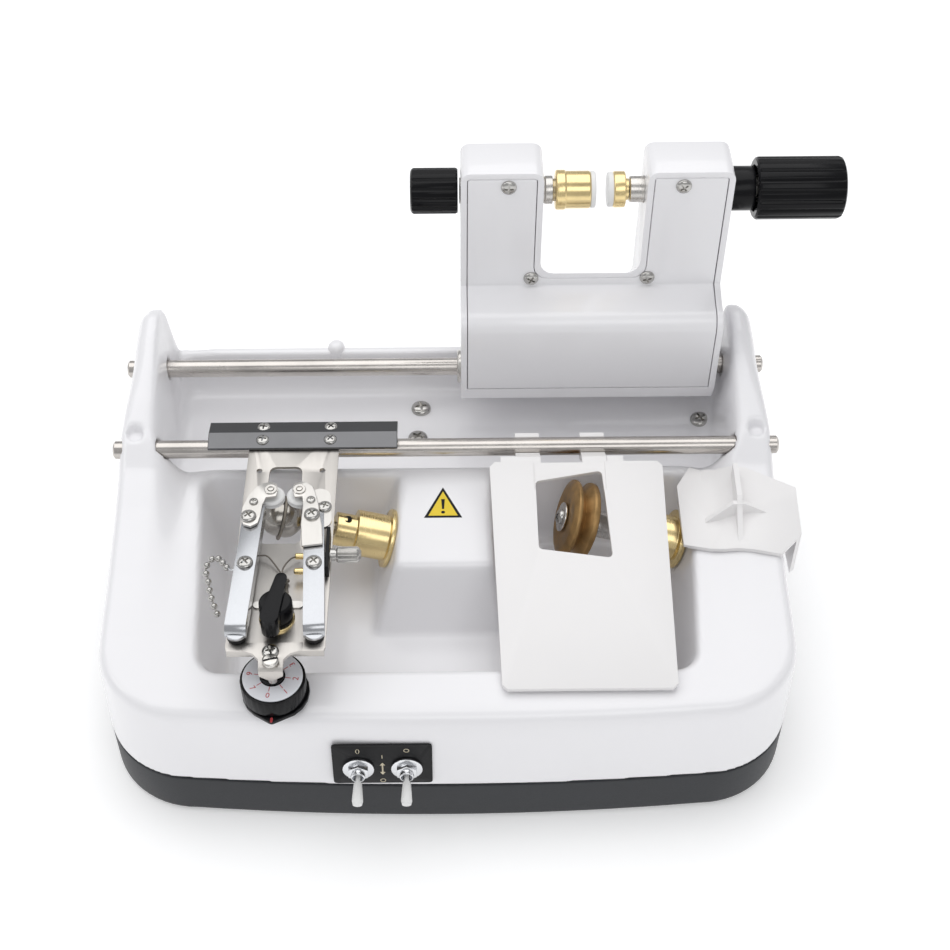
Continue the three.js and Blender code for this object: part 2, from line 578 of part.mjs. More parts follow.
// One guide arm, with its finger plate and its nylon roller. side is -1 on the left, +1 on the right.
function makeGuideArm(side) {
  const name = side < 0 ? 'left' : 'right';
  const { wide, bottom, top, pivotY, endY } = ARM;
  const slant = (ARM.front - ARM.rear) / (endY - pivotY);
  const at = (y) => CARRIAGE.x + side * (ARM.front - slant * (y - pivotY));
  const profile = [
    [endY, bottom], [endY, top], ...arc(pivotY + 1.7, top - 4, 4, 90, 180, 5), [pivotY - 2.3, 97.9],
    [pivotY + 4, 97.9], [pivotY + 4, bottom],
  ];
  const bar = prism(profile, 'yz', -wide, wide);
  const groove = box(-wide + 1, wide - 1, pivotY + 5, 0, bottom - 1, top - 1.1);
  const angle = THREE.MathUtils.radToDeg(Math.atan(slant)) * side;
  const arm = bar.subtract(groove).translate([0, -pivotY, 0]).rotate([0, 0, angle])
    .translate([at(pivotY), pivotY, 0]);
  const lug = rod(wide, 97.9, 99.4, 'z', [at(pivotY), pivotY, 0], 24);
  place(`${name}_guide_arm`, arm.add(lug), CHROME);
  const bush = rod(3.9, CARRIAGE.top + GAP, 97.6, 'z', [at(pivotY), pivotY, 0], 20);
  place(`${name}_arm_bush`, bush, BLACK);

  const rollerX = CARRIAGE.x + side * ROLLER.out;
  const outline = (side < 0 ? LEFT_FINGER : RIGHT_FINGER).map(([u, v]) => [rollerX + u, ROLLER.y + v]);
  const plate = prism(outline, 'xy', top + GAP, top + GAP + 1.2);
  const pin = rod(1.2, 97.2, top + 1, 'z', [rollerX, ROLLER.y, 0], 12);
  place(`${name}_finger_plate`, plate.add(pin), STEEL);
  const roller = rod(ROLLER.radius, ROLLER.bottom, ROLLER.top, 'z', [rollerX, ROLLER.y, 0], 32, 0.8);
  place(`${name}_roller`, roller.subtract(rod(1.5, 90, 110, 'z', [rollerX, ROLLER.y, 0], 16)), NYLON);
}

// The bead chain runs from the screw on the left arm down to the basin wall and back under the plate.
function makeChain() {
  const route = [
    [-88.6, -47.2, 99.5], [-92.7, -41.5, 98.5], [-96.3, -40.9, 96.5], [-98, -44.2, 94.5], [-97.1, -47, 92.5],
    [-96.2, -51.1, 89.5], [-95.2, -54.3, 88], [-94.3, -56.4, 86.5], [-92.9, -59.4, 85],
  ];
  const curve = new THREE.CatmullRomCurve3(route.map((point) => new THREE.Vector3(...point)));
  const count = Math.round(curve.getLength() / 3.3);
  const ring = arc(0, 0, 0.5, 0, 360, 5).slice(1).map(([u, v]) => new THREE.Vector2(u, v));
  const sweep = { steps: 16, extrudePath: curve, bevelEnabled: false };
  const wire = solid(new THREE.ExtrudeGeometry(new THREE.Shape(ring), sweep));
  const beads = [];
  for (let i = 0; i <= count; i += 1) {
    const bead = new THREE.SphereGeometry(1.45, 6, 4);
    beads.push(solid(bead.translate(...curve.getPointAt(i / count).toArray())));
  }
  place('bead_chain', joined(wire, ...beads), CHROME);
}

// ---------------------------------------------------------------- platform and saddle

// The platform hangs on the front rail by two hooks and slopes down to the front of the basin.
function makePlatform() {
  const rear = { y: 16.5, z: 93.2 };
  const front = { y: -88, z: 71.6 };
  const slope = Math.atan2(rear.z - front.z, rear.y - front.y);
  const length = Math.hypot(rear.z - front.z, rear.y - front.y);
  const group = new THREE.Group();
  group.position.set(56.3, rear.y, rear.z);
  group.rotation.x = slope;
  machine.add(group);
  const outline = [[-37.4, -2.5], [-35.2, 0], [35, 0], [37.2, -2.5], [35.6, 2 - length], [33.6, -length],
    [-32.6, -length], [-34.6, 2 - length]];
  const sheet = prism(outline, 'xy', -2.6, 0);
  const opening = strap([[-15.9, -11.1, 2], [9, -6.6, 2], [11, -45.4, 2], [-15.7, -41.4, 2]]);
  const window = prism(opening, 'xy', -6, 6);
  const step = [[-18.6, 2], [-18.6, -14], [-14, -16], [8, -16], [12.4, -14], [12.4, 2]];
  const recess = prism(step, 'xy', -0.9, 2);
  const tabs = [-32.6, 13.6].map((x) => box(x, x + 7, -2, 3.4, -2.4, -1));

  const railY = (FRONT_RAIL.y - rear.y) * Math.cos(slope) + (FRONT_RAIL.z - rear.z) * Math.sin(slope);
  const railZ = -(FRONT_RAIL.y - rear.y) * Math.sin(slope) + (FRONT_RAIL.z - rear.z) * Math.cos(slope);
  const bend = [
    [-4, -1], [3, -1], [railY - 4.6, railZ + 1.4], [railY - 4.6, railZ - 1.4], [railY - 6.4, railZ - 1.4],
    [1.6, -2.5], [-4, -2.5],
  ];
  const hooks = [-25.8, 2.8].map((x) => {
    const strip = prism(bend, 'yz', x, x + 10.6);
    const claw = rod(RAIL_RADIUS + 2.4, x, x + 10.6, 'x', [0, railY, railZ], 28)
      .subtract(box(x - 1, x + 20, railY - 20, railY + 20, railZ + 1.2, railZ + 20));
    return strip.add(claw);
  });
  const bore = rod(RAIL_RADIUS + GAP, -60, 60, 'x', [0, railY, railZ], 28);
  const plate = sheet.subtract(recess).subtract(window);
  place('platform', joined(plate, ...tabs, ...hooks).subtract(bore), WHITE, group);
}

// The saddle clips over the right-hand edge of the deck and shields the chamfer motor.
function makeSaddle() {
  const outer = 150.6;
  const rows = [-27, -20, -10, 0, 10, 18, 25.2];
  const columns = [101, 106, 112, 118, 124, 130, 136, outer];
  const height = (x, y) => Math.max(bodyTop(Math.min(x, 136), y), 74);
  const skin = (lift, xs) => relief(xs, rows, 58, (x, y) => height(x, y) + lift);
  const inside = [columns[0] + 1.6, ...columns.slice(1, -1), outer - 2.2];
  const level = (x, y) => height(x, THREE.MathUtils.clamp(y, -27, 25.2)) + 0.5;
  const widened = relief(inside, [-40, ...rows, 40], 50, level);
  const outline = [[101, -17.4], [141, -25.4], [outer, -16], [outer, 5.5], [107.5, 24.4], [101, 14]];
  const plan = prism(outline, 'xy', 40, 140);
  const keep = box(90, 103, -40, 40, 75.2, 140).add(box(102.9, 160, -40, 40, 58, 140));
  const cover = skin(2.4, columns).subtract(widened).intersect(plan).intersect(keep);
  const top = (y) => height(124, y) + 1;
  const fin = prism([
    [-21, top(-21)], [13.5, top(13.5)], [13.5, top(13.5) + 8], [-3, top(-3) + 10], [-9, top(-9) + 6],
  ], 'yz', 123.6, 125.8);
  const gusset = prism([
    [110, height(110, -5) + 1], [139, height(139, -5) + 1], [127, top(-5) + 8], [122, top(-5) + 8],
  ], 'xz', -6, -4);
  const body = bodySolid(-0.35, 20);
  place('saddle_guard', joined(cover, fin, gusset).subtract(body.subtract(basinSpace(-0.35))), WHITE);
}

// ---------------------------------------------------------------- lens head

// The side view of the head: straight arms above, the hood of the drive box below.
const HOOD_OUTLINE = [
  [HEAD.back, 100], [HEAD.back, 136.5], [HEAD.front, 136.5],
  ...arc(HEAD.hoodFront + 8, HEAD.shelf - 8, 8, 80, 180, 5),
  [HEAD.hoodFront, 92], [66, 84], [72, 80.5], [86, 81], [93, 87],
];

function headOutline(grow) {
  const n = NOTCH;
  const r = n.radius;
  const top = HEAD.top + grow;
  const corner = 4 + grow;
  return [
    [HEAD.left - grow, 136], [HEAD.right + grow, 136],
    ...arc(HEAD.right + grow - corner, top - corner, corner, 0, 90, 4),
    ...arc(n.right - grow + corner, top - corner, corner, 90, 180, 4),
    ...arc(n.right - grow - r, n.bottom + grow + r, r, 0, -90, 4),
    ...arc(n.left + grow + r, n.bottom + grow + r, r, -90, -180, 4),
    ...arc(n.left + grow - corner, top - corner, corner, 0, 90, 4),
    ...arc(HEAD.left - grow + corner, top - corner, corner, 90, 180, 4),
  ];
}

// Behind its front rim the bottom of the notch falls away to the rear.
function notchFall(grow) {
  const n = NOTCH;
  const r = n.radius;
  const outline = [
    [n.right + grow, 240], [n.left - grow, 240],
    ...arc(n.left - grow + r, n.bottom - grow + r, r, 180, 270, 4),
    ...arc(n.right + grow - r, n.bottom - grow + r, r, 270, 360, 4),
  ];
  const depth = HEAD.back - HEAD.front + 2;
  const fall = new THREE.Matrix4().makeTranslation(0, HEAD.front, 0)
    .multiply(new THREE.Matrix4().makeShear(0, 0, 0, -0.9, 0, 0));
  return prism(outline, 'xz', 0, depth).transform(fall.toArray());
}

function makeHead() {
  const arms = prism(headOutline(0), 'xz', HEAD.front, HEAD.back);
  const hood = prism(HOOD_OUTLINE, 'yz', HEAD.left, HEAD.right);
  const [left, right] = [HEAD.left + WALL, HEAD.right - WALL];
  const behind = box(left, right, HEAD.front + WALL + 1, 120, 110, 200);
  const rooms = joined(
    prism(headOutline(-WALL), 'xz', HEAD.front - 1, HEAD.back - WALL),
    box(left, right, 72, HEAD.back - WALL, 99.5, 139),
    box(left, right, HEAD.hoodFront + WALL, 72.1, 88, 139),
    box(left, right, HEAD.hoodFront - 2, HEAD.hoodFront + WALL + 0.1, 92.3, 139),
  ).subtract(notchFall(WALL + 0.6).intersect(behind));
  const bores = joined(
    rod(8, 0, 130, 'x', [0, REAR_RAIL.y, REAR_RAIL.z], 32),
    rod(5.9, 0, 140, 'x', [0, CHUCK.y, CHUCK.z], 24),
  );
  place('head_frame', arms.add(hood).subtract(notchFall(0)).subtract(rooms).subtract(bores), WHITE);

  const sheet = 1.8;
  const lid = prism(headOutline(-WALL - GAP), 'xz', HEAD.front, HEAD.front + sheet);
  const bend = [HEAD.hoodFront + 8, HEAD.shelf - 8];
  const under = [[HEAD.front + 9, 80], [HEAD.front + 9, 134.6], [HEAD.front, 134.6],
    ...arc(...bend, 8 - sheet, 80, 180, 5), [HEAD.hoodFront + sheet, 80]];
  const skin = prism(HOOD_OUTLINE, 'yz', left + GAP, right - GAP)
    .intersect(box(0, 130, 60, HEAD.front + sheet, 92.6, 140))
    .subtract(prism(under, 'yz', 0, 130));
  place('head_cover', lid.add(skin), WHITE);

  const tube = rod(7.6, HEAD.left - 1.6, HEAD.right + 1.6, 'x', [0, REAR_RAIL.y, REAR_RAIL.z], 32, 0.6);
  const bore = rod(RAIL_RADIUS + 0.06, -10, 140, 'x', [0, REAR_RAIL.y, REAR_RAIL.z], 48);
  place('head_slide_tube', tube.subtract(bore), STEEL);
}

function makeLensDrive() {
  const motorAxis = { y: 92, z: 118 };
  const at = [0, motorAxis.y, motorAxis.z];
  place('lens_motor', joined(
    rod(9.6, 34, 78, 'x', at, 24, 1), box(26, 34.1, 82.4, 101.6, 108.4, 127.6),
  ).subtract(rod(2.2, 20, 32, 'x', at, 16)), MOTOR);
  place('motor_pulley', joined(
    rod(1.9, 15, 31, 'x', at, 16), rod(5.4, 15, 16, 'x', at, 24),
    rod(4, 15, 24, 'x', at, 24), rod(5.4, 23, 24.2, 'x', at, 24),
  ), STEEL);
  const belt = (radius) => strap([[motorAxis.y, motorAxis.z, radius], [CHUCK.y, CHUCK.z, radius + 1.5]], 24);
  place('drive_belt', prism(belt(5.3), 'yz', 17, 22.6).subtract(prism(belt(4.3), 'yz', 10, 30)), RUBBER);
}

function flutedKnob(radius, from, to, flutes, bevel) {
  const cuts = [];
  for (let i = 0; i < flutes; i += 1) {
    const angle = (i / flutes) * 2 * Math.PI;
    const reach = radius + 0.6;
    cuts.push(rod(1.1, from - 1, to + 1, 'x', [0, reach * Math.cos(angle), reach * Math.sin(angle)], 6));
  }
  return rod(radius, from, to, 'x', [0, 0, 0], 32, bevel).subtract(joined(...cuts));
}

function makeChucks() {
  const axis = new THREE.Group();
  axis.position.set(0, CHUCK.y, CHUCK.z);
  machine.add(axis);
  place('left_chuck', joined(
    rod(5.6, HEAD.left - 0.5, 44, 'x', [0, 0, 0], 24),
    rod(6.1, 43, 46.6, 'x', [0, 0, 0], 24),
    rod(4.8, 46.5, 47.6, 'x', [0, 0, 0], 20),
    rod(8.5, 47.5, 52, 'x', [0, 0, 0], 28, 0.5), rod(8, 51.9, 62.6, 'x', [0, 0, 0], 28, 0.4),
    rod(7.8, 62.5, 64.7, 'x', [0, 0, 0], 28, 0.4),
  ), BRASS, axis);
  place('left_chuck_knob', flutedKnob(9.7, -14.2, HEAD.left - 1.2, 14, 0.8), BLACK, axis);

  const sleeveEnd = 132;
  place('clamp_sleeve', rod(9.5, HEAD.right + GAP, sleeveEnd, 'x', [0, 0, 0], 28, 0.3)
    .subtract(rod(5.9, 100, 140, 'x', [0, 0, 0], 24)), BLACK, axis);
  place('clamp_shaft', rod(5.6, 79.2, 164, 'x', [0, 0, 0], 24, 0.3), STEEL, axis);
  place('right_chuck', joined(
    rod(7.4, 69.9, 72.3, 'x', [0, 0, 0], 28, 0.4), rod(7.7, 72.2, 77.4, 'x', [0, 0, 0], 28, 0.5),
    rod(4.6, 77.3, 78.9, 'x', [0, 0, 0], 20),
  ), BRASS, axis);
  const clampKnob = flutedKnob(13.4, 132.6, 170, 18, 1.2)
    .subtract(rod(10, 132, 148, 'x', [0, 0, 0], 28))
    .subtract(rod(5.9, 140, 165, 'x', [0, 0, 0], 24));
  place('clamp_knob', clampKnob, BLACK, axis);
}

makeBody();
makeRails();
makeSwitches();
makeSupply();
makeGrooveSpindle();
makeChamferSpindle();
makeDial();
makeCarriage();
makeSelector();
makeFineAdjuster();
makeGuideArm(-1);
makeGuideArm(1);
makeChain();
makePlatform();
makeSaddle();
makeHead();
makeLensDrive();
makeChucks();

const part = new THREE.Group();
part.add(machine);
const extent = new THREE.Box3().setFromObject(machine);
const centre = extent.getCenter(new THREE.Vector3());
machine.position.set(-centre.x, -centre.y, -extent.min.z);

export default part;
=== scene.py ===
# The looks of the lens groover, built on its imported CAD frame. Shapes are worked out in millimetres
# from the middle of the machine's base, +X to the user's right, +Y to the rear and +Z up, and each
# becomes a mesh in metres in the frame's own coordinates.

import json
import math

import bmesh
import bpy
import numpy as np
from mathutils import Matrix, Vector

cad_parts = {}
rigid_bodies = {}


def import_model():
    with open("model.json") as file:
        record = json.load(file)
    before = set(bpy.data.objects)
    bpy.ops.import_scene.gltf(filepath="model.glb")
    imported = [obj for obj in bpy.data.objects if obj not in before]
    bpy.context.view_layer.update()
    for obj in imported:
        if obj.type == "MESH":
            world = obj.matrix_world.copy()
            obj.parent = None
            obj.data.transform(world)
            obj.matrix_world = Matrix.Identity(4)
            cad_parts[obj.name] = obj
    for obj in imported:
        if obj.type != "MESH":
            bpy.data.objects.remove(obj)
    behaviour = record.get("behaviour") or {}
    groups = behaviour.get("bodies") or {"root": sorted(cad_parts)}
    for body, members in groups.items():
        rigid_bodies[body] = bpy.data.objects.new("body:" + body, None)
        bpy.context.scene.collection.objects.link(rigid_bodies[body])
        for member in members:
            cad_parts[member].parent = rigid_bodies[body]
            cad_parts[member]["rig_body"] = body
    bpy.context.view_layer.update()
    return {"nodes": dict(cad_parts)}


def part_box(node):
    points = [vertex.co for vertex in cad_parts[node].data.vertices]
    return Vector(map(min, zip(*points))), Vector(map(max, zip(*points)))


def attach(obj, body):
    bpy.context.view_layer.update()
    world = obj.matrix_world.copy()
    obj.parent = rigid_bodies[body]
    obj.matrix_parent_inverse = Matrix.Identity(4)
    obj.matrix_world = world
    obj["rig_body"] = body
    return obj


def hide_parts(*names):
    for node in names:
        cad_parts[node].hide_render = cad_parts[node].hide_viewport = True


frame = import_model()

import openvdb
from mathutils import Matrix, Vector

MM = 0.001
NODES = frame["nodes"]


# ------------------------------------------------------------ places taken from the frame

def middle_of(node):
    low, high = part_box(node)
    return (low + high) / 2


PAN_LOW, PAN_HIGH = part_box("base_pan")
BASE = Vector(((PAN_LOW.x + PAN_HIGH.x) / 2, (PAN_LOW.y + PAN_HIGH.y) / 2 - 0.5 * MM, 0))


def in_mm(point):
    """A point of the frame as millimetres from the middle of the base."""
    return (Vector(point) - BASE) / MM


FRONT_RAIL = in_mm(middle_of("front_rail"))
REAR_RAIL = in_mm(middle_of("rear_rail"))
SEAM = PAN_HIGH.z / MM
HALF = (PAN_HIGH.x - PAN_LOW.x) / 2 / MM
FRONT = in_mm(PAN_LOW).y
REAR = in_mm(PAN_HIGH).y
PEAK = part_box("top_shell")[1].z / MM
DIAL = in_mm(middle_of("dial_scale"))
ROLLERS = [in_mm(middle_of("left_roller")), in_mm(middle_of("right_roller"))]
ARMS = [in_mm(middle_of("left_guide_arm")), in_mm(middle_of("right_guide_arm"))]
CHUCK = in_mm(middle_of("clamp_shaft"))
SELECTOR = in_mm(middle_of("selector_knob"))
PIN = in_mm(middle_of("depth_pin"))
PLATE_TOP = in_mm(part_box("selector_knob")[0]).z - 0.3
FINGER_TOP = in_mm(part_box("left_arm_bush")[1]).z + 7.2
LID_FRONT = in_mm(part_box("head_frame")[1]).y - 22  # the flat front of the head's arms
TILT = math.radians(17)  # both wheel spindles rise to the left
GROOVE_MOUTH = (-24.5, -1, 63.3)  # where the groove spindle leaves the basin's middle block
CHAMFER_MOUTH = (101.2, -1, 61.1)  # where the chamfer spindle leaves the basin's right wall
GROOVE_REACH = 48.2  # from its mouth to the near face of the groove disc
CHAMFER_REACH = 52.7  # from its mouth to the far face of the chamfer wheel
ROD = 4.0  # radius of the two rails
TROUGH_FLOOR = 63
BASIN_FLOOR = 42
BASIN_RIM = 79
DRAFT = 5.0  # the front and rear walls lean in by this much from the seam to the top
SIDE_DRAFT = 1.6  # and the side walls by this much
TAPER = 2.4  # behind the middle each side also draws in by this much
LEAN = math.atan(DRAFT / (PEAK - SEAM))


# ------------------------------------------------------------ materials

def node_material(name, colour, roughness, metallic=0.0, coat=0.0, specular=0.5):
    material = bpy.data.materials.new(name)
    material.use_nodes = True
    shader = material.node_tree.nodes["Principled BSDF"]
    shader.inputs["Base Color"].default_value = (*colour, 1)
    shader.inputs["Roughness"].default_value = roughness
    shader.inputs["Metallic"].default_value = metallic
    shader.inputs["Specular IOR Level"].default_value = specular
    shader.inputs["Coat Weight"].default_value = coat
    shader.inputs["Coat Roughness"].default_value = 0.08
    return material, material.node_tree.nodes, material.node_tree.links, shader


def stretched_noise(nodes, links, scale, stretch=(1, 1, 1), detail=4.0, turn=(0, 0, 0)):
    """Noise in the piece's own space; a small stretch value draws it out along that axis."""
    place = nodes.new("ShaderNodeTexCoord")
    mapping = nodes.new("ShaderNodeMapping")
    mapping.inputs["Scale"].default_value = stretch
    mapping.inputs["Rotation"].default_value = turn
    noise = nodes.new("ShaderNodeTexNoise")
    noise.inputs["Scale"].default_value = scale
    noise.inputs["Detail"].default_value = detail
    links.new(place.outputs["Object"], mapping.inputs["Vector"])
    links.new(mapping.outputs["Vector"], noise.inputs["Vector"])
    return noise.outputs["Fac"]


def spread(nodes, links, value, low, high):
    """The middle of a noise, spread over a range."""
    spreader = nodes.new("ShaderNodeMapRange")
    spreader.inputs["From Min"].default_value = 0.3
    spreader.inputs["From Max"].default_value = 0.7
    spreader.inputs["To Min"].default_value = low
    spreader.inputs["To Max"].default_value = high
    links.new(value, spreader.inputs["Value"])
    return spreader.outputs["Result"]


def tint(nodes, links, value, dark, light):
    ramp = nodes.new("ShaderNodeValToRGB")
    ramp.color_ramp.elements[0].position = 0.3
    ramp.color_ramp.elements[0].color = (*dark, 1)
    ramp.color_ramp.elements[1].position = 0.7
    ramp.color_ramp.elements[1].color = (*light, 1)
    links.new(value, ramp.inputs["Fac"])
    return ramp.outputs["Color"]


def finish(name, colour, roughness, metallic=0.0, coat=0.0, patch=30, vary=0.06, rough_vary=0.08,
           grain=1500, stretch=(1, 1, 1), bump=0.1, depth=0.02, turn=(0, 0, 0), specular=0.5):
    """A surface with slow patches of colour and gloss and a fine grain in relief."""
    material, nodes, links, shader = node_material(name, colour, roughness, metallic, coat, specular)
    slow = stretched_noise(nodes, links, patch)
    fine = stretched_noise(nodes, links, grain, stretch, 6.0, turn)
    dark = [channel * (1 - vary) for channel in colour]
    light = [min(1.0, channel * (1 + vary)) for channel in colour]
    links.new(tint(nodes, links, slow, dark, light), shader.inputs["Base Color"])
    blend = nodes.new("ShaderNodeMath")
    blend.operation = "ADD"
    links.new(spread(nodes, links, slow, roughness - rough_vary, roughness), blend.inputs[0])
    links.new(spread(nodes, links, fine, 0, rough_vary), blend.inputs[1])
    links.new(blend.outputs["Value"], shader.inputs["Roughness"])
    relief = nodes.new("ShaderNodeBump")
    relief.inputs["Strength"].default_value = bump
    relief.inputs["Distance"].default_value = depth * MM
    links.new(fine, relief.inputs["Height"])
    links.new(relief.outputs["Normal"], shader.inputs["Normal"])
    return material


WHITE = finish("white_gloss", (0.9, 0.893, 0.91), 0.3, coat=0.5, patch=14, vary=0.008, rough_vary=0.03,
               grain=1800, bump=0.06, depth=0.03)
WARM = finish("warm_white", (0.9, 0.885, 0.88), 0.46, patch=20, vary=0.01, rough_vary=0.04, grain=900,
              bump=0.12, depth=0.05)
SLATE = finish("slate", (0.018, 0.02, 0.024), 0.46, patch=25, vary=0.12, grain=1400, bump=0.25, depth=0.06)
BLACK = finish("black_gloss", (0.004, 0.004, 0.005), 0.22, patch=60, vary=0.3, rough_vary=0.06, grain=700,
               bump=0.08, depth=0.03, specular=0.18)
SATIN = finish("black_satin", (0.009, 0.009, 0.01), 0.42, patch=60, vary=0.25, grain=1600, bump=0.2,
               depth=0.04, specular=0.2)
RUBBER = finish("rubber", (0.02, 0.019, 0.018), 0.75, patch=90, vary=0.25, grain=2500, bump=0.3, depth=0.05)
GROUND = finish("ground_steel", (0.56, 0.53, 0.5), 0.24, 1.0, patch=50, vary=0.1, rough_vary=0.1,
                grain=3000, stretch=(0.02, 1, 1), bump=0.12, depth=0.01)
PLAIN = finish("turned_steel", (0.6, 0.58, 0.55), 0.25, 1.0, patch=120, vary=0.12, rough_vary=0.12,
               grain=2600, stretch=(1, 0.06, 0.06), bump=0.1, depth=0.01)
PLATE = finish("brushed_plate", (0.56, 0.535, 0.505), 0.36, 1.0, patch=50, vary=0.09, rough_vary=0.1,
               grain=2600, stretch=(1, 0.03, 1), bump=0.12, depth=0.008)
SHEET = finish("stainless_sheet", (0.66, 0.64, 0.61), 0.36, 1.0, patch=60, vary=0.07, rough_vary=0.1,
               grain=2600, stretch=(1, 0.03, 1), bump=0.1, depth=0.008)
SCREW = finish("screw_steel", (0.5, 0.49, 0.47), 0.2, 1.0, patch=120, vary=0.12, rough_vary=0.1,
               grain=2600, bump=0.1, depth=0.01)
HUB = finish("polished_hub", (0.4, 0.38, 0.35), 0.22, 1.0, patch=80, vary=0.12, rough_vary=0.1,
             grain=2000, bump=0.08, depth=0.01)
CHROME = finish("bright_plate", (0.74, 0.75, 0.77), 0.14, 1.0, patch=70, vary=0.05, rough_vary=0.08,
                grain=1500, bump=0.04, depth=0.01)
NICKEL = finish("satin_nickel", (0.5, 0.51, 0.53), 0.24, 1.0, patch=60, vary=0.04, rough_vary=0.05,
                grain=1600, bump=0.03, depth=0.01)
MIRROR = finish("mirror_plate", (0.15, 0.15, 0.155), 0.12, 1.0, patch=60, vary=0.05, rough_vary=0.06,
                grain=1200, stretch=(0.1, 1, 1), bump=0.03, depth=0.01)
BRASS = finish("turned_brass", (0.88, 0.7, 0.36), 0.24, 1.0, patch=70, vary=0.1, rough_vary=0.1,
               grain=2400, stretch=(1, 0.04, 0.04), bump=0.1, depth=0.012, turn=(0, -TILT, 0))
BRONZE = finish("bronze_bond", (0.36, 0.22, 0.09), 0.42, 0.85, patch=200, vary=0.25, rough_vary=0.15,
                grain=3500, bump=0.35, depth=0.05)
DIAMOND = finish("diamond_rim", (0.3, 0.27, 0.23), 0.55, 0.6, patch=300, vary=0.25, grain=5000, bump=0.5,
                 depth=0.06)
NYLON = finish("nylon", (0.85, 0.85, 0.84), 0.42, patch=90, vary=0.02, grain=1200, bump=0.08, depth=0.03)
PAPER = finish("dial_face", (0.78, 0.79, 0.83), 0.38, patch=60, vary=0.03, grain=900, bump=0.04, depth=0.02)
RED = finish("red_ink", (0.5, 0.05, 0.06), 0.5, patch=300, vary=0.15, grain=2000, bump=0.05, depth=0.01)
INK = finish("pale_ink", (0.62, 0.55, 0.4), 0.5, patch=300, vary=0.1, grain=2000, bump=0.05, depth=0.01)
YELLOW = finish("yellow_print", (0.85, 0.62, 0.02), 0.4, patch=200, vary=0.05, grain=1500, bump=0.05,
                depth=0.01)
MOTOR = finish("motor_can", (0.4, 0.4, 0.41), 0.35, 1.0, patch=60, vary=0.1, grain=1800, bump=0.1, depth=0.02)
GREEN = finish("green_board", (0.02, 0.12, 0.05), 0.45, patch=200, vary=0.3, grain=1800, bump=0.2, depth=0.03)
THREAD = finish("thread", (0.16, 0.14, 0.12), 0.6, patch=400, vary=0.2, grain=4000, bump=0.3, depth=0.03)

SLOTS = {  # the CAD material that each look stands for, unless a piece names another
    "white_moulding": (WHITE, WARM), "grey_moulding": (SLATE,), "black_plastic": (BLACK, SATIN),
    "ground_steel": (GROUND, PLAIN, SCREW, HUB), "stainless_sheet": (PLATE, SHEET),
    "chrome": (CHROME, NICKEL, MIRROR), "brass": (BRASS,), "bronze_bond": (BRONZE,),
    "diamond_rim": (DIAMOND,), "white_nylon": (NYLON,), "dial_face": (PAPER, RED),
    "panel_label": (INK, YELLOW),
}
SLOT_OF = {look.name: slot for slot, looks in SLOTS.items() for look in looks}


# ------------------------------------------------------------ making pieces

BEVELLED_ANGLE = 32  # a CAD edge sharper than this many degrees is rounded off
SHEET_CREASE = 21.0  # and between its facets an edge sharper than this stays sharp


def to_frame(points):
    """Millimetre points as metres in the frame."""
    return np.asarray(points, float) * MM + np.array(BASE)


def mesh_piece(name, points, faces, material, body, smooth=30.0, slot=None):
    """A new piece riding on a body. Edges sharper than smooth degrees stay sharp."""
    mesh = bpy.data.meshes.new(name)
    mesh.from_pydata([tuple(p) for p in to_frame(points)], [], [tuple(f) for f in faces])
    return finish_piece(name, mesh, material, body, smooth, slot)


def finish_piece(name, mesh, material, body, smooth=30.0, slot=None):
    mesh.materials.clear()
    mesh.materials.append(material)
    mesh.validate()
    mesh.update()
    piece = bpy.data.objects.new(name, mesh)
    bpy.context.scene.collection.objects.link(piece)
    mesh.shade_smooth()
    mesh.set_sharp_from_angle(angle=math.radians(smooth))
    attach(piece, body)
    slot = slot or SLOT_OF.get(material.name)
    return piece


def body_of_node(node):
    return NODES[node]["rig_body"]


def soften(node, material, width=0.4, segments=2, slot=None):
    """A CAD node's own shape again, with its sharp edges rounded off."""
    mesh = NODES[node].data.copy()
    shape = bmesh.new()
    shape.from_mesh(mesh)
    bmesh.ops.remove_doubles(shape, verts=shape.verts, dist=0.002 * MM)
    bmesh.ops.dissolve_limit(shape, angle_limit=math.radians(0.6), verts=shape.verts, edges=shape.edges)
    sharp = [e for e in shape.edges
             if len(e.link_faces) == 2 and e.calc_face_angle() > math.radians(BEVELLED_ANGLE)]
    if width:
        bmesh.ops.bevel(shape, geom=sharp, offset=width * MM, segments=segments, profile=0.5,
                        affect="EDGES", clamp_overlap=True)
    bmesh.ops.triangulate(shape, faces=[f for f in shape.faces if len(f.verts) > 4])
    shape.to_mesh(mesh)
    shape.free()
    piece = finish_piece(node + "_shape", mesh, material, body_of_node(node), SHEET_CREASE, slot)
    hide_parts(node)


def apply_modifiers(piece):
    """The piece's modifiers become its mesh."""
    depsgraph = bpy.context.evaluated_depsgraph_get()
    made = bpy.data.meshes.new_from_object(piece.evaluated_get(depsgraph))
    piece.modifiers.clear()
    piece.data = made


AXES = {
    "x": Matrix.Rotation(math.pi / 2, 3, "Y"),
    "front": Matrix.Rotation(math.pi / 2, 3, "X"),
    "z": Matrix.Identity(3),
    "spindle": Matrix.Rotation(TILT - math.pi / 2, 3, "Y"),
}


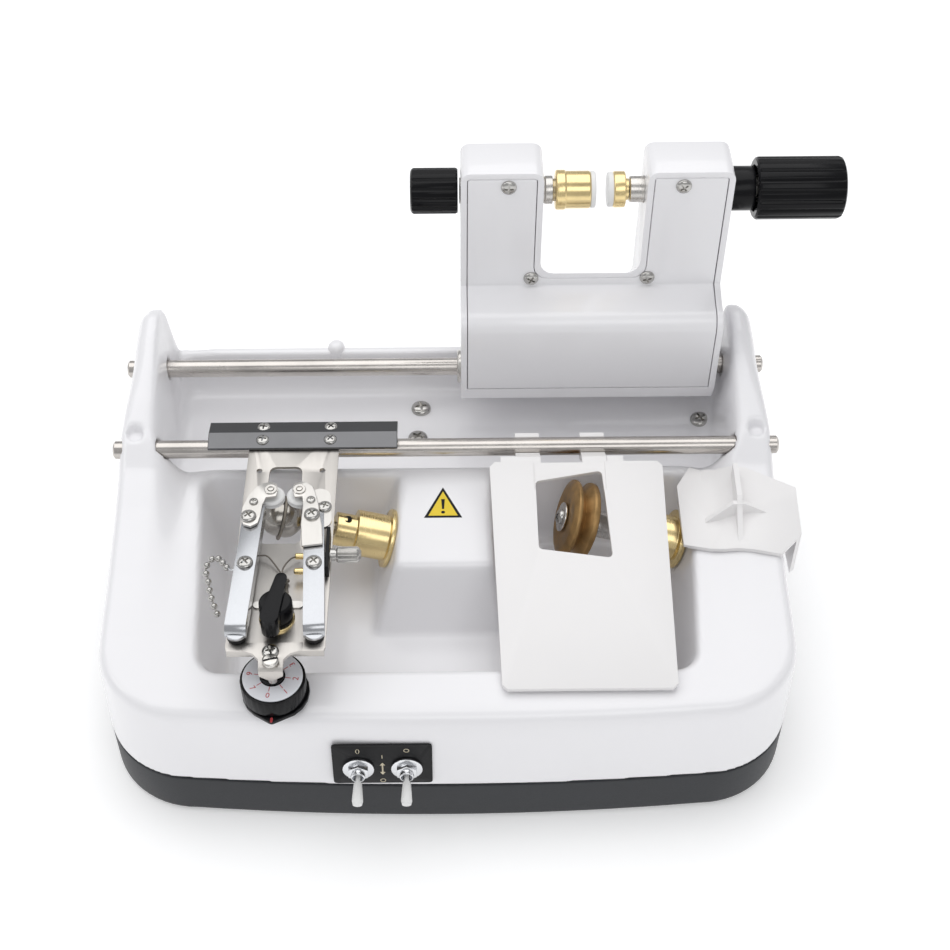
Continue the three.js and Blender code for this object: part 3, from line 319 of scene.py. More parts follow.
def lathe(profile, axis="z", at=(0, 0, 0), sides=64, flutes=0, flute_depth=0.0, between=None):
    """Points and faces of a closed turned shape; flutes cut soft grooves in the height range between."""
    rows = [(max(r, 1e-4), h) for r, h in profile]
    turn = np.array(AXES[axis])
    points = []
    for radius, height in rows:
        for i in range(sides):
            angle = 2 * math.pi * i / sides
            cut = 0.0
            if flutes and between[0] <= height <= between[1] and radius > 2.6:
                cut = flute_depth * max(0.0, math.cos(flutes * angle)) ** 2
            reach = radius - cut
            points.append(turn @ np.array((reach * math.cos(angle), reach * math.sin(angle), height)))
    faces = []
    for row in range(len(rows) - 1):
        for i in range(sides):
            j = (i + 1) % sides
            a, b = row * sides, (row + 1) * sides
            faces.append((a + i, a + j, b + j, b + i))
    return np.array(points) + np.array(at), faces


def turned_piece(name, profile, material, body, axis="z", at=(0, 0, 0), smooth=28.0, **how):
    """A turned piece riding on a body."""
    points, faces = lathe(profile, axis, at, **how)
    mesh = bpy.data.meshes.new(name)
    mesh.from_pydata([tuple(p) for p in to_frame(points)], [], faces)
    shape = bmesh.new()
    shape.from_mesh(mesh)
    bmesh.ops.remove_doubles(shape, verts=shape.verts, dist=0.001 * MM)
    bmesh.ops.dissolve_degenerate(shape, edges=shape.edges, dist=0.0005 * MM)
    bmesh.ops.recalc_face_normals(shape, faces=shape.faces)
    shape.to_mesh(mesh)
    shape.free()
    return finish_piece(name, mesh, material, body, smooth)


def lathe_piece(name, profile, material, node, axis="z", at=(0, 0, 0), **how):
    """A turned piece that stands for a CAD node."""
    piece = turned_piece(name, profile, material, body_of_node(node), axis, at, **how)
    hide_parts(node)


def eased(profile, ease):
    """A turned profile with every outer corner cut by two short steps, so that it catches the light."""
    out = [profile[0]]
    for before, here, after in zip(profile, profile[1:], profile[2:]):
        back = Vector(before) - Vector(here)
        on = Vector(after) - Vector(here)
        reach = min(ease, back.length * 0.4, on.length * 0.4)
        if reach < 0.02:
            out.append(here)
            continue
        back.normalize()
        on.normalize()
        inner = (back + on) * reach * 0.29
        out.append(tuple(Vector(here) + back * reach))
        out.append(tuple(Vector(here) + inner))
        out.append(tuple(Vector(here) + on * reach))
    out.append(profile[-1])
    return out


def merged(parts):
    """Several (points, faces) shapes as one."""
    points, faces, count = [], [], 0
    for some_points, some_faces in parts:
        points.append(np.asarray(some_points, float))
        faces += [tuple(index + count for index in face) for face in some_faces]
        count += len(some_points)
    return np.concatenate(points), faces


def wire(route, radius):
    """Points and faces of a closed round wire through a route."""
    sides = 10
    points, faces = [], []
    route = [Vector(stop) for stop in route]
    for i, stop in enumerate(route):
        ahead = (route[min(i + 1, len(route) - 1)] - route[max(i - 1, 0)]).normalized()
        across = ahead.cross(Vector((0.1, 0.2, 1))).normalized()
        up = across.cross(ahead)
        for step in range(sides):
            angle = 2 * math.pi * step / sides
            points.append(stop + radius * (math.cos(angle) * across + math.sin(angle) * up))
    for row in range(len(route) - 1):
        for step in range(sides):
            a, b = row * sides + step, row * sides + (step + 1) % sides
            faces.append((a, a + sides, b + sides, b))
    faces.append(tuple(range(sides)))
    faces.append(tuple(reversed(range(len(points) - sides, len(points)))))
    return np.array(points), faces


def smooth_route(stops, steps=8):
    """A soft curve through the stops of a route."""
    stops = [np.array(stop, float) for stop in stops]
    padded = [2 * stops[0] - stops[1]] + stops + [2 * stops[-1] - stops[-2]]
    curve = []
    for p0, p1, p2, p3 in zip(padded, padded[1:], padded[2:], padded[3:]):
        for t in np.arange(steps) / steps:
            bend = (-p0 + 3 * p1 - 3 * p2 + p3) * t ** 3
            curve.append((2 * p1 + (p2 - p0) * t + (2 * p0 - 5 * p1 + 4 * p2 - p3) * t ** 2 + bend) / 2)
    return curve + [stops[-1]]


def tablet(outline, low, high, drop=lambda x, y: 0.0):
    """Points and faces of a flat tablet; drop lowers it from place to place."""
    count = len(outline)
    points = [(x, y, z - drop(x, y)) for z in (low, high) for x, y in outline]
    faces = [tuple(reversed(range(count))), tuple(range(count, 2 * count))]
    faces += [(i, (i + 1) % count, (i + 1) % count + count, i + count) for i in range(count)]
    return points, faces


def round_bar(x0, y0, x1, y1, radius, steps=10):
    """The outline in plan of a bar with round ends."""
    heading = math.atan2(y1 - y0, x1 - x0)
    outline = []
    for x, y, start in ((x1, y1, heading - math.pi / 2), (x0, y0, heading + math.pi / 2)):
        for step in range(steps + 1):
            angle = start + math.pi * step / steps
            outline.append((x + radius * math.cos(angle), y + radius * math.sin(angle)))
    return outline


# ------------------------------------------------------------ the moulded body as a field

VOXEL = 1.15
BOW = 4.5  # the front wall is this much further forward in the middle


def ramp(value, low, high):
    t = np.clip((value - low) / (high - low), 0, 1)
    return t * t * (3 - 2 * t)


def rounded_max(a, b, radius):
    return np.maximum(a, b) + np.maximum(radius - np.abs(a - b), 0) ** 2 / (4 * radius)


def slab_distance(x, y, half_left, half_right, front, rear, front_radius, rear_radius):
    """Signed distance to a rectangle in plan whose front and rear corners have their own radii."""
    middle = (half_right - half_left) / 2
    half = (half_left + half_right) / 2
    centre = (front + rear) / 2
    radius = np.where(y < centre, front_radius, rear_radius)
    out_x = np.abs(x - middle) - (half - radius)
    out_y = np.where(y < centre, front + radius - y, y - rear + radius)
    corner = np.hypot(np.maximum(out_x, 0), np.maximum(out_y, 0))
    return corner + np.minimum(np.maximum(out_x, out_y), 0) - radius


CREASE = [(-112, 46), (-106, 54), (-102.5, 58), (-100.3, 63), (-97, 66), (-92, 67.4)]
CHEEK = CREASE + [(-60, 71), (-30, 76), (0, 83), (18, 89), (30, 97), (45, 104), (60, 110), (75, 115),
                  (88, PEAK), (96, 114), (101, 107), (105, 92), (112, 70)]
DECK = CREASE + [(28, 78.5), (60, 84), (92, 87), (101, 87), (103.5, 83), (105, 78), (112, 60)]


def profile_height(profile, y):
    """Heights along a profile with its corners eased over a few millimetres."""
    blur = 3.0
    steps = np.linspace(-blur, blur, 9)
    weights = np.exp(-(steps / blur * 1.6) ** 2)
    ys, zs = zip(*profile)
    total = sum(w * np.interp(y + s, ys, zs) for w, s in zip(weights, steps))
    return total / weights.sum()


def body_top(x, y):
    """The sloping deck, rising along each side to a cheek that is rounder towards the rear."""
    side = np.abs(x)
    cheek = ramp(side, 112 + 12 * ramp(y, 40, 80), 129)
    top = profile_height(DECK, y) * (1 - cheek) + profile_height(CHEEK, y) * cheek
    high = ramp(y, 25, 70)
    crown = np.clip((side - 139 + 7 * high) / (5 + 5 * high), 0, 1)
    return top - (4 + 15 * high) * (1 - np.sqrt(1 - 0.98 * crown ** 2))


def body_walls(x, y, z):
    """The outer walls, leaning in upwards, with a bowed front and sides drawn in behind."""
    level = (z - SEAM) / (PEAK - SEAM)
    half = HALF - SIDE_DRAFT * level - TAPER * np.clip((y - 25) / (REAR - 39), 0, 1)
    front = FRONT + DRAFT * level + BOW * np.minimum(1, (x / 107) ** 2)
    shrink = SIDE_DRAFT * level
    return slab_distance(x, y, half, half, front, REAR - DRAFT * level, 38 - shrink, 14 - shrink)


def trough_space(x, y, z):
    """The long trough under the head, its walls opening out upwards."""
    t = np.clip((z - TROUGH_FLOOR) / 67, 0, 1)
    half = 124 + 3.5 * t
    wall = slab_distance(x, y, half, half, FRONT_RAIL.y + 0.2 - 5.5 * t, 93.5 + 2.5 * t, 8, 8)
    return rounded_max(wall, TROUGH_FLOOR - z, 7)


def basin_space(x, y, z):
    """The wet basin in the deck, less the block in its middle."""
    lean = (BASIN_RIM - z) * math.tan(TILT)
    taper = 0.963 + 0.037 * (y + 78) / 102.5
    half = (108.5 - lean) * taper
    drop = np.clip((BASIN_RIM - z) / (BASIN_RIM - BASIN_FLOOR), 0, 1)
    corner = 7 + 6 * drop
    wall = slab_distance(x, y, half, half, -78 + 7 * drop, 24.5 - 7 * drop, corner, corner)
    basin = rounded_max(wall, BASIN_FLOOR - z, 7)
    block = slab_distance(x, y, 20 + lean, 19.5 + lean / 2, -22 - 16 * drop, 60, 3, 3)
    return rounded_max(basin, -block, 2.5)


def cheek_dents(x, y, z):
    """A shallow round dent over each end of the front rail."""
    return rounded_max(np.hypot(np.abs(x) - 136, y - 32) - 3.4, 94.6 - z, 1.5)


def inlet_opening(x, y, z):
    """The cutout in the rear wall round the power inlet."""
    low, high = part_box("power_inlet")
    middle = (in_mm(low) + in_mm(high)) / 2
    return np.maximum(np.maximum(np.abs(x - middle.x) - 15.4, np.abs(z - middle.z) - 11.4), 95 - y)


def make_shell():
    """The body's moulded skin, drawn as a smooth field and meshed once."""
    margin = 3 * VOXEL
    xs = np.arange(-HALF - margin, HALF + margin, VOXEL)
    ys = np.arange(FRONT - margin, REAR + margin, VOXEL)
    zs = np.arange(SEAM - margin, PEAK + margin, VOXEL)
    x, y, z = np.meshgrid(xs, ys, zs, indexing="ij")
    flat_x, flat_y = np.meshgrid(xs, ys, indexing="ij")
    top = body_top(flat_x, flat_y)
    slope_x, slope_y = np.gradient(top, VOXEL)
    steep = np.sqrt(1 + slope_x ** 2 + slope_y ** 2)
    lid = (z - top[:, :, None]) / steep[:, :, None]
    field = rounded_max(body_walls(x, y, z), lid, 4.5)
    field = rounded_max(field, -trough_space(x, y, z), 3 + 5 * ramp(np.abs(x), 100, 122))
    field = rounded_max(field, -basin_space(x, y, z), 3)
    field = rounded_max(field, -cheek_dents(x, y, z), 1.2)
    field = np.maximum(field, -inlet_opening(x, y, z))
    for rail in (FRONT_RAIL, REAR_RAIL):
        field = np.maximum(field, ROD + 0.6 - np.hypot(y - rail.y, z - rail.z))
    field = rounded_max(field, SEAM + 0.45 - z, 1.5)
    grid = openvdb.FloatGrid(4.0)
    grid.copyFromArray(np.clip(field, -4, 4).astype(np.float32))
    points, quads = grid.convertToQuads(0.0)
    points = points * VOXEL + np.array((xs[0], ys[0], zs[0]))
    piece = mesh_piece("shell", points, quads[:, ::-1], WHITE, "body", 60.0)
    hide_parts("top_shell")


def outline_ring(inset):
    """The base's outline in plan, with a bowed front and sides drawn in behind, as one ring of points."""
    half, front, rear = HALF - inset, FRONT + inset, REAR - inset
    big, small = 38 - inset, 14 - inset
    flat = half - big
    ring = [(x, front + BOW * (x / flat) ** 2) for x in np.linspace(-flat, flat, 36)]
    side = half - TAPER - small
    corners = [(flat, front + BOW + big, big, -90), (half, 25, 0, 0), (side, rear - small, small, 0),
               (-side, rear - small, small, 90), (-half, 25, 0, 90), (-flat, front + BOW + big, big, 180)]
    for cx, cy, radius, start in corners:
        for step in range(1, 17 if radius else 2):
            angle = math.radians(start + 90 * step / 16)
            ring.append((cx + radius * math.cos(angle), cy + radius * math.sin(angle)))
    return ring[:-1]


def make_pan():
    """The grey base under the shell: a solid stack of rings with eased edges."""
    bottom = PAN_LOW.z / MM
    levels = [(bottom, 1.5), (bottom + 0.15, 0.9), (bottom + 0.5, 0.4), (bottom + 1.2, 0.1),
              (bottom + 2.4, 0), (SEAM - 1.1, 0), (SEAM - 0.4, 0.25), (SEAM, 1.0), (SEAM, 4.0),
              (SEAM - 3, 4.2)]
    rings = [[(x, y, z) for x, y in outline_ring(inset)] for z, inset in levels]
    count = len(rings[0])
    faces = []
    for level in range(len(rings) - 1):
        for i in range(count):
            j = (i + 1) % count
            a, b = level * count, (level + 1) * count
            faces.append((a + i, a + j, b + j, b + i))
    faces.append(tuple(reversed(range(count))))
    faces.append(tuple(range((len(rings) - 1) * count, len(rings) * count)))
    piece = mesh_piece("pan", [p for ring in rings for p in ring], faces, SLATE, "body", 40.0)
    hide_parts("base_pan")


def make_stops():
    """Two round stops moulded on the rear ledge."""
    dome = [(0, 84), (4, 84), (4, 86.9), (3.7, 88.1), (2.7, 89.3), (1.4, 89.8), (0, 89.9)]
    for side, x in (("left", -51), ("right", 58)):
        turned_piece(f"rear_stop_{side}", dome, WHITE, "body", at=(x, 98.2, 0), smooth=60)


# ------------------------------------------------------------ screws

def pan_head(radius, height):
    """A domed screw head with a cross recess, its flat foot at zero."""
    mesh = bpy.data.meshes.new("pan_head")
    profile = [(0, 0), (radius, 0), (radius, height * 0.3), (radius * 0.93, height * 0.62),
               (radius * 0.72, height * 0.88), (radius * 0.4, height * 0.98), (0, height)]
    points, faces = lathe(profile, sides=32)
    mesh.from_pydata([tuple(p) for p in points], [], faces)
    head = bpy.data.objects.new("pan_head", mesh)
    bpy.context.scene.collection.objects.link(head)
    cutters = []
    for turn in (0, 90):
        shape = bmesh.new()
        bmesh.ops.create_cube(shape, size=1)
        scale = Matrix.Diagonal((radius * 1.15, radius * 0.24, height * 1.3, 1))
        spin = Matrix.Rotation(math.radians(turn), 4, "Z")
        bmesh.ops.transform(shape, matrix=Matrix.Translation((0, 0, height)) @ spin @ scale,
                            verts=shape.verts)
        cutter_mesh = bpy.data.meshes.new("cutter")
        shape.to_mesh(cutter_mesh)
        shape.free()
        cutter = bpy.data.objects.new("cutter", cutter_mesh)
        bpy.context.scene.collection.objects.link(cutter)
        cut = head.modifiers.new("recess", "BOOLEAN")
        cut.operation = "DIFFERENCE"
        cut.object = cutter
        cutters.append(cutter)
    apply_modifiers(head)
    points = np.array([v.co[:] for v in head.data.vertices])
    faces = [tuple(p.vertices) for p in head.data.polygons]
    for spare in cutters + [head]:
        bpy.data.objects.remove(spare)
    return points, faces


HEAD_SHAPE = pan_head(1.0, 0.55)
SCREW_CREASE = 35.0


def screw(at, radius, axis="z", turn=20.0):
    """One screw head standing on a point, its top facing along an axis."""
    points, faces = HEAD_SHAPE
    spin = np.array(Matrix.Rotation(math.radians(turn), 3, "Z"))
    stand = np.array(AXES[axis])
    return (points * radius) @ spin.T @ stand.T + np.array(at), faces


def screws(name, body, places, axis="z"):
    """A group of screw heads on one body, each (x, y, z, radius, turn)."""
    parts = [screw((x, y, z), radius, axis, turn) for x, y, z, radius, turn in places]
    mesh_piece(name, *merged(parts), SCREW, body, SCREW_CREASE)


# ------------------------------------------------------------ rails, wheels and housings

def make_rails():
    """The two cross rails, each end with a round recess, and the rubber feet."""
    for name, rail in (("front_rail", FRONT_RAIL), ("rear_rail", REAR_RAIL)):
        low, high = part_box(name)
        start, end = in_mm(low).x, in_mm(high).x
        cup = [(0, 1.2), (1.6, 1.2), (2.0, 0), (ROD - 0.8, 0), (ROD, 0.8)]
        profile = [(r, start + deep) for r, deep in cup] + [(r, end - deep) for r, deep in reversed(cup)]
        lathe_piece(name + "_rod", profile, GROUND, name, "x", (0, rail.y, rail.z), sides=48)
    for end in ("front", "rear"):
        for side in ("left", "right"):
            soften(f"foot_{end}_{side}", RUBBER, 0.2)


def make_wheels():
    """The brass spindle housings, each with its spindle and wheel."""
    steps = [(3.4, 0.3), (13, 0.3), (13, 2.4), (10, 2.4), (10, 16.5), (7.3, 16.5), (7.3, 25.5), (3.4, 25.5),
             (3.4, 0.3)]
    lathe_piece("groove_boss", eased(steps, 0.5), BRASS, "groove_housing", "spindle", GROOVE_MOUTH)
    steps = [(3.4, 0.3), (13, 0.3), (13, 3), (10, 3), (10, 9), (3.4, 9), (3.4, 0.3)]
    lathe_piece("chamfer_boss", eased(steps, 0.5), BRASS, "chamfer_housing", "spindle", CHAMFER_MOUTH)
    make_groove_wheel(GROOVE_MOUTH, GROOVE_REACH)
    make_chamfer_wheel(CHAMFER_MOUTH, CHAMFER_REACH)
    x, y, z = GROOVE_MOUTH
    along, out = 21.0, 7.1
    top = (x - along * math.cos(TILT) + out * math.sin(TILT), y,
           z + along * math.sin(TILT) + out * math.cos(TILT))
    socket = [(0, 0.25), (1.1, 0.25), (1.2, 0.45), (1.7, 0.5), (1.7, -0.6), (0, -0.6)]
    turned_piece("groove_set_screw", socket, SATIN, "body", "z", top, sides=24)


def make_groove_wheel(at, end):
    """A thin diamond disc between the two halves of a polished hub."""
    hub, gap = 8.1, 0.3
    back, on = end - gap, end + 1 + gap
    curve = [(hub, 0), (hub, 1.6), (7.75, 3.0), (7.2, 4.4), (6.2, 5.7), (4.9, 6.8), (3.6, 7.8)]
    near = [(r, back - out) for r, out in reversed(curve)]
    far = [(r, on + out) for r, out in curve]
    neck = [(2.9, back), (2.9, on)]
    shaft = [(0, -18), (2.9, -18), (2.9, back - 7.8)] + near + neck + far + [(0, on + 7.8)]
    lathe_piece("groove_hub", shaft, HUB, "groove_spindle", "spindle", at, smooth=40)
    rim = [(3.2, end), (9.5, end), (9.7, end + 0.3), (9.7, end + 0.7), (9.5, end + 1), (3.2, end + 1),
           (3.2, end)]
    lathe_piece("groove_disc", rim, DIAMOND, "groove_wheel", "spindle", at, sides=96)


def make_chamfer_wheel(at, end):
    """A bonded wheel with a valley round it, held by a washer and a cross-headed screw."""
    shaft = [(0, -18), (2.9, -18), (2.9, end - 30), (5.8, end - 30), (5.8, end - 12.3), (2.9, end - 12.3),
             (2.9, end + 0.3), (6.4, end + 0.3), (6.4, end + 1.4), (0, end + 1.4)]
    lathe_piece("chamfer_shaft", eased(shaft, 0.35), PLAIN, "chamfer_spindle", "spindle", at)
    points, faces = HEAD_SHAPE
    turn = np.array(AXES["spindle"])
    placed = (points * 3.4 + np.array((0, 0, end + 1.35))) @ turn.T + np.array(at)
    mesh_piece("chamfer_screw", placed, faces, SCREW, body_of_node("chamfer_spindle"), 35.0)
    radius = 17
    profile = [(3.2, end - 12), (13.6, end - 12), (radius, end - 10.6), (radius, end - 8.4),
               (radius - 4.4, end - 5.6), (radius, end - 2.8), (radius, end - 1.2), (13.6, end), (3.2, end),
               (3.2, end - 12)]
    lathe_piece("chamfer_disc", eased(profile, 0.5), BRONZE, "chamfer_wheel", "spindle", at, sides=96)


# ------------------------------------------------------------ switches and dial

def glyph(text, size, material, name, body, matrix):
    """Flat printed marks, a little proud of what they are printed on."""
    curve = bpy.data.curves.new(name, "FONT")
    curve.body = text
    curve.size = size * MM
    curve.extrude = 0.04 * MM
    curve.align_x = "CENTER"
    curve.align_y = "CENTER"
    letter = bpy.data.objects.new(name + "_curve", curve)
    bpy.context.scene.collection.objects.link(letter)
    mesh = bpy.data.meshes.new_from_object(letter)
    bpy.data.objects.remove(letter)
    mesh.transform(matrix)
    finish_piece(name, mesh, material, body)


FIRST_NUMERAL = -98  # degrees round the dial from +X to the nought


def make_dial():
    """The depth dial: a coned black knob with a red-numbered disc let into its top."""
    soften("dial_pointer_base", BLACK, 0.35)
    low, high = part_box("depth_knob")
    scale_low, scale_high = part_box("dial_scale")
    top = scale_low.z / MM - 0.3
    bottom = top - 8.4
    radius = (high.x - low.x) / 2 / MM
    profile = [(0, bottom - 14), (3, bottom - 14), (3, bottom), (radius - 0.7, bottom),
               (radius - 0.2, bottom + 0.5), (radius - 0.2, bottom + 1.2), (radius, top - 0.6),
               (radius - 0.2, top - 0.1), (radius - 0.6, top), (4.8, top), (4.8, top + 2.2), (4.4, top + 2.4),
               (0, top + 2.4)]
    place = (DIAL.x, DIAL.y, 0)
    lathe_piece("dial_knob", profile, BLACK, "depth_knob", "z", place, sides=168, flutes=28,
                flute_depth=0.15, between=(bottom + 1, top - 0.5))
    rim = (scale_high.x - scale_low.x) / 2 / MM
    face = top + 1.0
    disc = [(5.1, top + 0.3), (rim, top + 0.3), (rim, face - 0.2), (rim - 0.2, face), (5.1, face),
            (5.1, top + 0.3)]
    lathe_piece("dial_disc", disc, PAPER, "dial_scale", "z", place, sides=96)
    ticks = []
    for number in range(8):
        angle = math.radians(FIRST_NUMERAL + 45 * number)
        turn = Matrix.Rotation(angle + math.pi / 2, 4, "Z")
        radial = Vector((math.cos(angle), math.sin(angle), 0))
        spot = to_frame([(DIAL.x + 9.4 * radial.x, DIAL.y + 9.4 * radial.y, face + 0.02)])[0]
        glyph(str(number), 3.3, RED, f"dial_number_{number}", "depth_dial", Matrix.Translation(spot) @ turn)
        start, end = radial * 5.3, radial * 7.3
        bar = round_bar(DIAL.x + start.x, DIAL.y + start.y, DIAL.x + end.x, DIAL.y + end.y, 0.14, 3)
        ticks.append(tablet(bar, face - 0.05, face + 0.04))
    mesh_piece("dial_ticks", *merged(ticks), RED, "depth_dial")
    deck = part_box("dial_pointer_base")[1].z / MM
    tip = round_bar(DIAL.x - 0.3, DIAL.y - 14.8, DIAL.x - 0.25, DIAL.y - 13.4, 0.5, 6)
    mesh_piece("pointer_mark", *tablet(tip, deck - 0.05, deck + 0.04), RED, "body")


def make_switches():
    """The switch panel with its two toggles and plain on and off marks."""
    soften("switch_panel", SATIN, 0.15, slot="panel_label")
    low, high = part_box("switch_panel")
    foot, left, right = in_mm(low), in_mm(low).x, in_mm(high).x

    def on_panel(x, z):
        y = foot.y + (z - foot.z) * math.tan(LEAN) - 0.03
        return Matrix.Translation(to_frame([(x, y, z)])[0]) @ Matrix.Rotation(math.pi / 2 - LEAN, 4, "X")

    switches = [in_mm(middle_of(name)) for name in ("lens_switch", "wheel_switch")]
    level, centre = switches[0].z, (left + right) / 2
    marks = [("()", switches[0].x, 11.2), ("O", switches[1].x, 11.2), ("I", centre, 7.2), ("O", centre, -8.6)]
    for number, (mark, x, up) in enumerate(marks):
        glyph(mark, 3.2, INK, f"panel_mark_{number}", "body", on_panel(x, level + up))
    arrow = [(-0.3, -2.2), (-1.1, -2.2), (0, -4), (1.1, -2.2), (0.3, -2.2), (0.3, 2.2), (1.1, 2.2), (0, 4),
             (-1.1, 2.2), (-0.3, 2.2)]
    points, faces = tablet(arrow, -0.04, 0.04)
    place = on_panel(centre, level - 0.6)
    mesh = bpy.data.meshes.new("panel_arrow")
    mesh.from_pydata([place @ (Vector(p) * MM) for p in points], [], faces)
    finish_piece("panel_arrow", mesh, INK, "body")
    for name in ("lens_switch", "wheel_switch"):
        soften(name, CHROME, 0.18)
        soften(name + "_lever", NYLON, 0.0)


def make_warning():
    """A plain warning triangle printed on the sloping middle of the deck."""
    def deck(x, y):
        return -profile_height(DECK, np.array([y]))[0]

    middle, foot, tip, half = -1.4, -0.1, 16.4, 8.3

    def triangle(inset, low, high):
        reach = inset * 1.75
        outline = [(middle - half + reach, foot + inset), (middle + half - reach, foot + inset),
                   (middle, tip - inset * 2.1)]
        return tablet(outline, low, high, deck)

    mesh_piece("warning_border", *triangle(0, -0.05, 0.05), SATIN, "body", slot="panel_label")
    mesh_piece("warning_field", *triangle(1.1, -0.05, 0.08), YELLOW, "body")
    stroke = tablet([(middle - 0.45, foot + 4.6), (middle + 0.45, foot + 4.6), (middle + 0.8, foot + 10),
                     (middle - 0.8, foot + 10)], -0.05, 0.11, deck)
    dot = tablet(round_bar(middle - 0.1, foot + 2.9, middle + 0.1, foot + 2.9, 0.75, 6), -0.05, 0.11, deck)
    mesh_piece("warning_mark", *merged([stroke, dot]), SATIN, "body", slot="panel_label")


# ------------------------------------------------------------ carriage, platform, head

def make_sheets():
    """The sheet metal and moulded parts that keep their CAD shapes with rounded edges."""
    soften("carriage_plate", PLATE, 0.35)
    soften("rail_bracket", MIRROR, 0.3)
    for side in ("left", "right"):
        soften(side + "_guide_arm", NICKEL, 0.45, 3)
        soften(side + "_finger_plate", SHEET, 0.3)
        soften(side + "_arm_bush", SATIN, 0.3)
        soften("carriage_bush_" + side, SATIN, 0.4)
    soften("fine_adjust_block", SATIN, 0.3)
    soften("selector_knob", BLACK, 0.5, 3)
    soften("platform", WARM, 0.7, 3)
    soften("saddle_guard", WARM, 0.5)
    soften("head_frame", WHITE, 0.7, 3)
    soften("head_cover", WHITE, 0.6, 3)
    soften("head_slide_tube", PLAIN, 0.2)
    soften("power_inlet", SATIN, 0.4)
    low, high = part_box("power_inlet")
    inlet = (in_mm(low) + in_mm(high)) / 2
    rear = in_mm(high).y
    pins = [round_bar(inlet.x + x, rear - 8.2, inlet.x + x, rear - 1.4, 0.9, 4) for x in (-4.6, 0, 4.6)]
    levels = (inlet.z - 1.5, inlet.z + 2.2, inlet.z - 1.5)
    parts = [tablet(pin, z - 1.8, z + 1.8) for pin, z in zip(pins, levels)]
    mesh_piece("inlet_pins", *merged(parts), PLAIN, "body")


def make_rollers():
    """The nylon rollers turn on riveted pins; each has a shallow groove round it."""
    for side, roller in zip(("left", "right"), ROLLERS):
        low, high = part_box(side + "_roller")
        radius = (high.x - low.x) / 2 / MM
        bottom, top = low.z / MM, high.z / MM
        profile = [(1.5, bottom), (radius - 0.9, bottom), (radius, bottom + 0.7),
                   (radius - 0.3, bottom + 1.4), (radius - 0.3, top - 1.4), (radius, top - 0.7),
                   (radius - 0.9, top), (1.5, top), (1.5, bottom)]
        place = (roller.x, roller.y, 0)
        lathe_piece(side + "_roller_turned", eased(profile, 0.2), NYLON, side + "_roller", "z", place)
        ring = [(0, 0.0), (2.7, 0.0), (2.7, 0.35), (2.5, 0.5), (1.5, 0.5), (1.5, 0.1), (1.3, 0.15),
                (1.1, 0.7), (0, 0.85)]
        ring = [(r, FINGER_TOP + h) for r, h in ring]
        turned_piece(side + "_rivet", ring, PLAIN, body_of_node(side + "_finger_plate"), "z", place,
                     sides=32)


def make_adjusters():
    """The knurled thumb screw with its nut, and the depth pin, whose slot is painted shade: a flat dark bar
    on its head.
    """
    low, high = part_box("fine_adjust_screw")
    start, end = in_mm(low).x, in_mm(high).x
    radius = (high.z - low.z) / 2 / MM
    axis = (0, in_mm(middle_of("fine_adjust_screw")).y, middle_of("fine_adjust_screw").z / MM)
    grip = [(0, start), (1.3, start), (1.3, start + 1.8), (2.6, start + 1.8), (2.6, start + 3.6),
            (2.2, start + 3.6), (2.2, start + 4.2), (radius - 0.5, start + 4.2), (radius, start + 4.8),
            (radius, end - 1.6), (radius - 0.5, end - 0.8), (1.6, end), (0, end)]
    lathe_piece("thumb_screw", grip, SCREW, "fine_adjust_screw", "x", axis, sides=144, flutes=36,
                flute_depth=0.28, between=(start + 4.4, end - 1))
    low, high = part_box("depth_pin")
    bottom, top = low.z / MM, high.z / MM
    pin = [(0, bottom), (1, bottom), (1.9, bottom + 1), (1.9, top - 1.8), (3.2, top - 1.8), (3.2, top - 0.6),
           (2.6, top - 0.15), (0, top)]
    place = (PIN.x, PIN.y, 0)
    lathe_piece("depth_pin_turned", eased(pin, 0.15), PLAIN, "depth_pin", "z", place, sides=48)
    # the pin's slot is not cut: a flat black bar laid on its head is painted shade standing for the slot's
    # dark inside
    slot_shade = round_bar(PIN.x - 2.4, PIN.y - 0.6, PIN.x + 2.4, PIN.y + 0.6, 0.4, 3)
    mesh_piece("depth_pin_slot_shade", *tablet(slot_shade, top - 0.3, top + 0.02), SATIN, body_of_node("depth_pin"))


def make_screws():
    """The cross-headed screws that hold the arms, the carriage, the head's lid and the trough."""
    for side, arm, finger in (("left", ARMS[0], ((-6.6, -6.8, 1.9), (-8.1, -15.1, 3.3))),
                              ("right", ARMS[1], ((5.1, -6.0, 1.9), (5.9, -14.3, 3.3)))):
        middle = ROLLERS[0] if side == "left" else ROLLERS[1]
        places = [(middle.x + x, middle.y + y, FINGER_TOP - 0.05, radius,
                   25 + 31 * radius) for x, y, radius in finger]
        places.append((arm.x, -48.2, FINGER_TOP - 1.55, 3.3, 40))
        screws(f"{side}_arm_screws", body_of_node(side + "_guide_arm"), places)
    screws("plate_screws", body_of_node("carriage_plate"), [(-68.6, -86.6, PLATE_TOP - 0.05, 3.4, 15)])
    fold = PLATE_TOP + 3.0
    places = [(x, y, fold - 1.2, 2.9, 30 + 5 * x) for x in (-79.6, -50.2) for y in (27.0, 34.4)]
    screws("bracket_screws", body_of_node("rail_bracket"), places)
    lid = [(27.3, 189.4, 0), (100.4, 189.3, 35), (38.1, 140.5, 60), (89.1, 140.5, 15)]
    places = [(x, LID_FRONT + 0.05, z, 3.3, turn) for x, z, turn in lid]
    screws("lid_screws", body_of_node("head_cover"), places, "front")
    spots = [(-11.5, 80.5, 10), (-12.9, 60.6, 55), (119.4, 71.5, 30)]
    screws("trough_screws", "body", [(x, y, TROUGH_FLOOR - 0.1, 4.6, turn) for x, y, turn in spots])


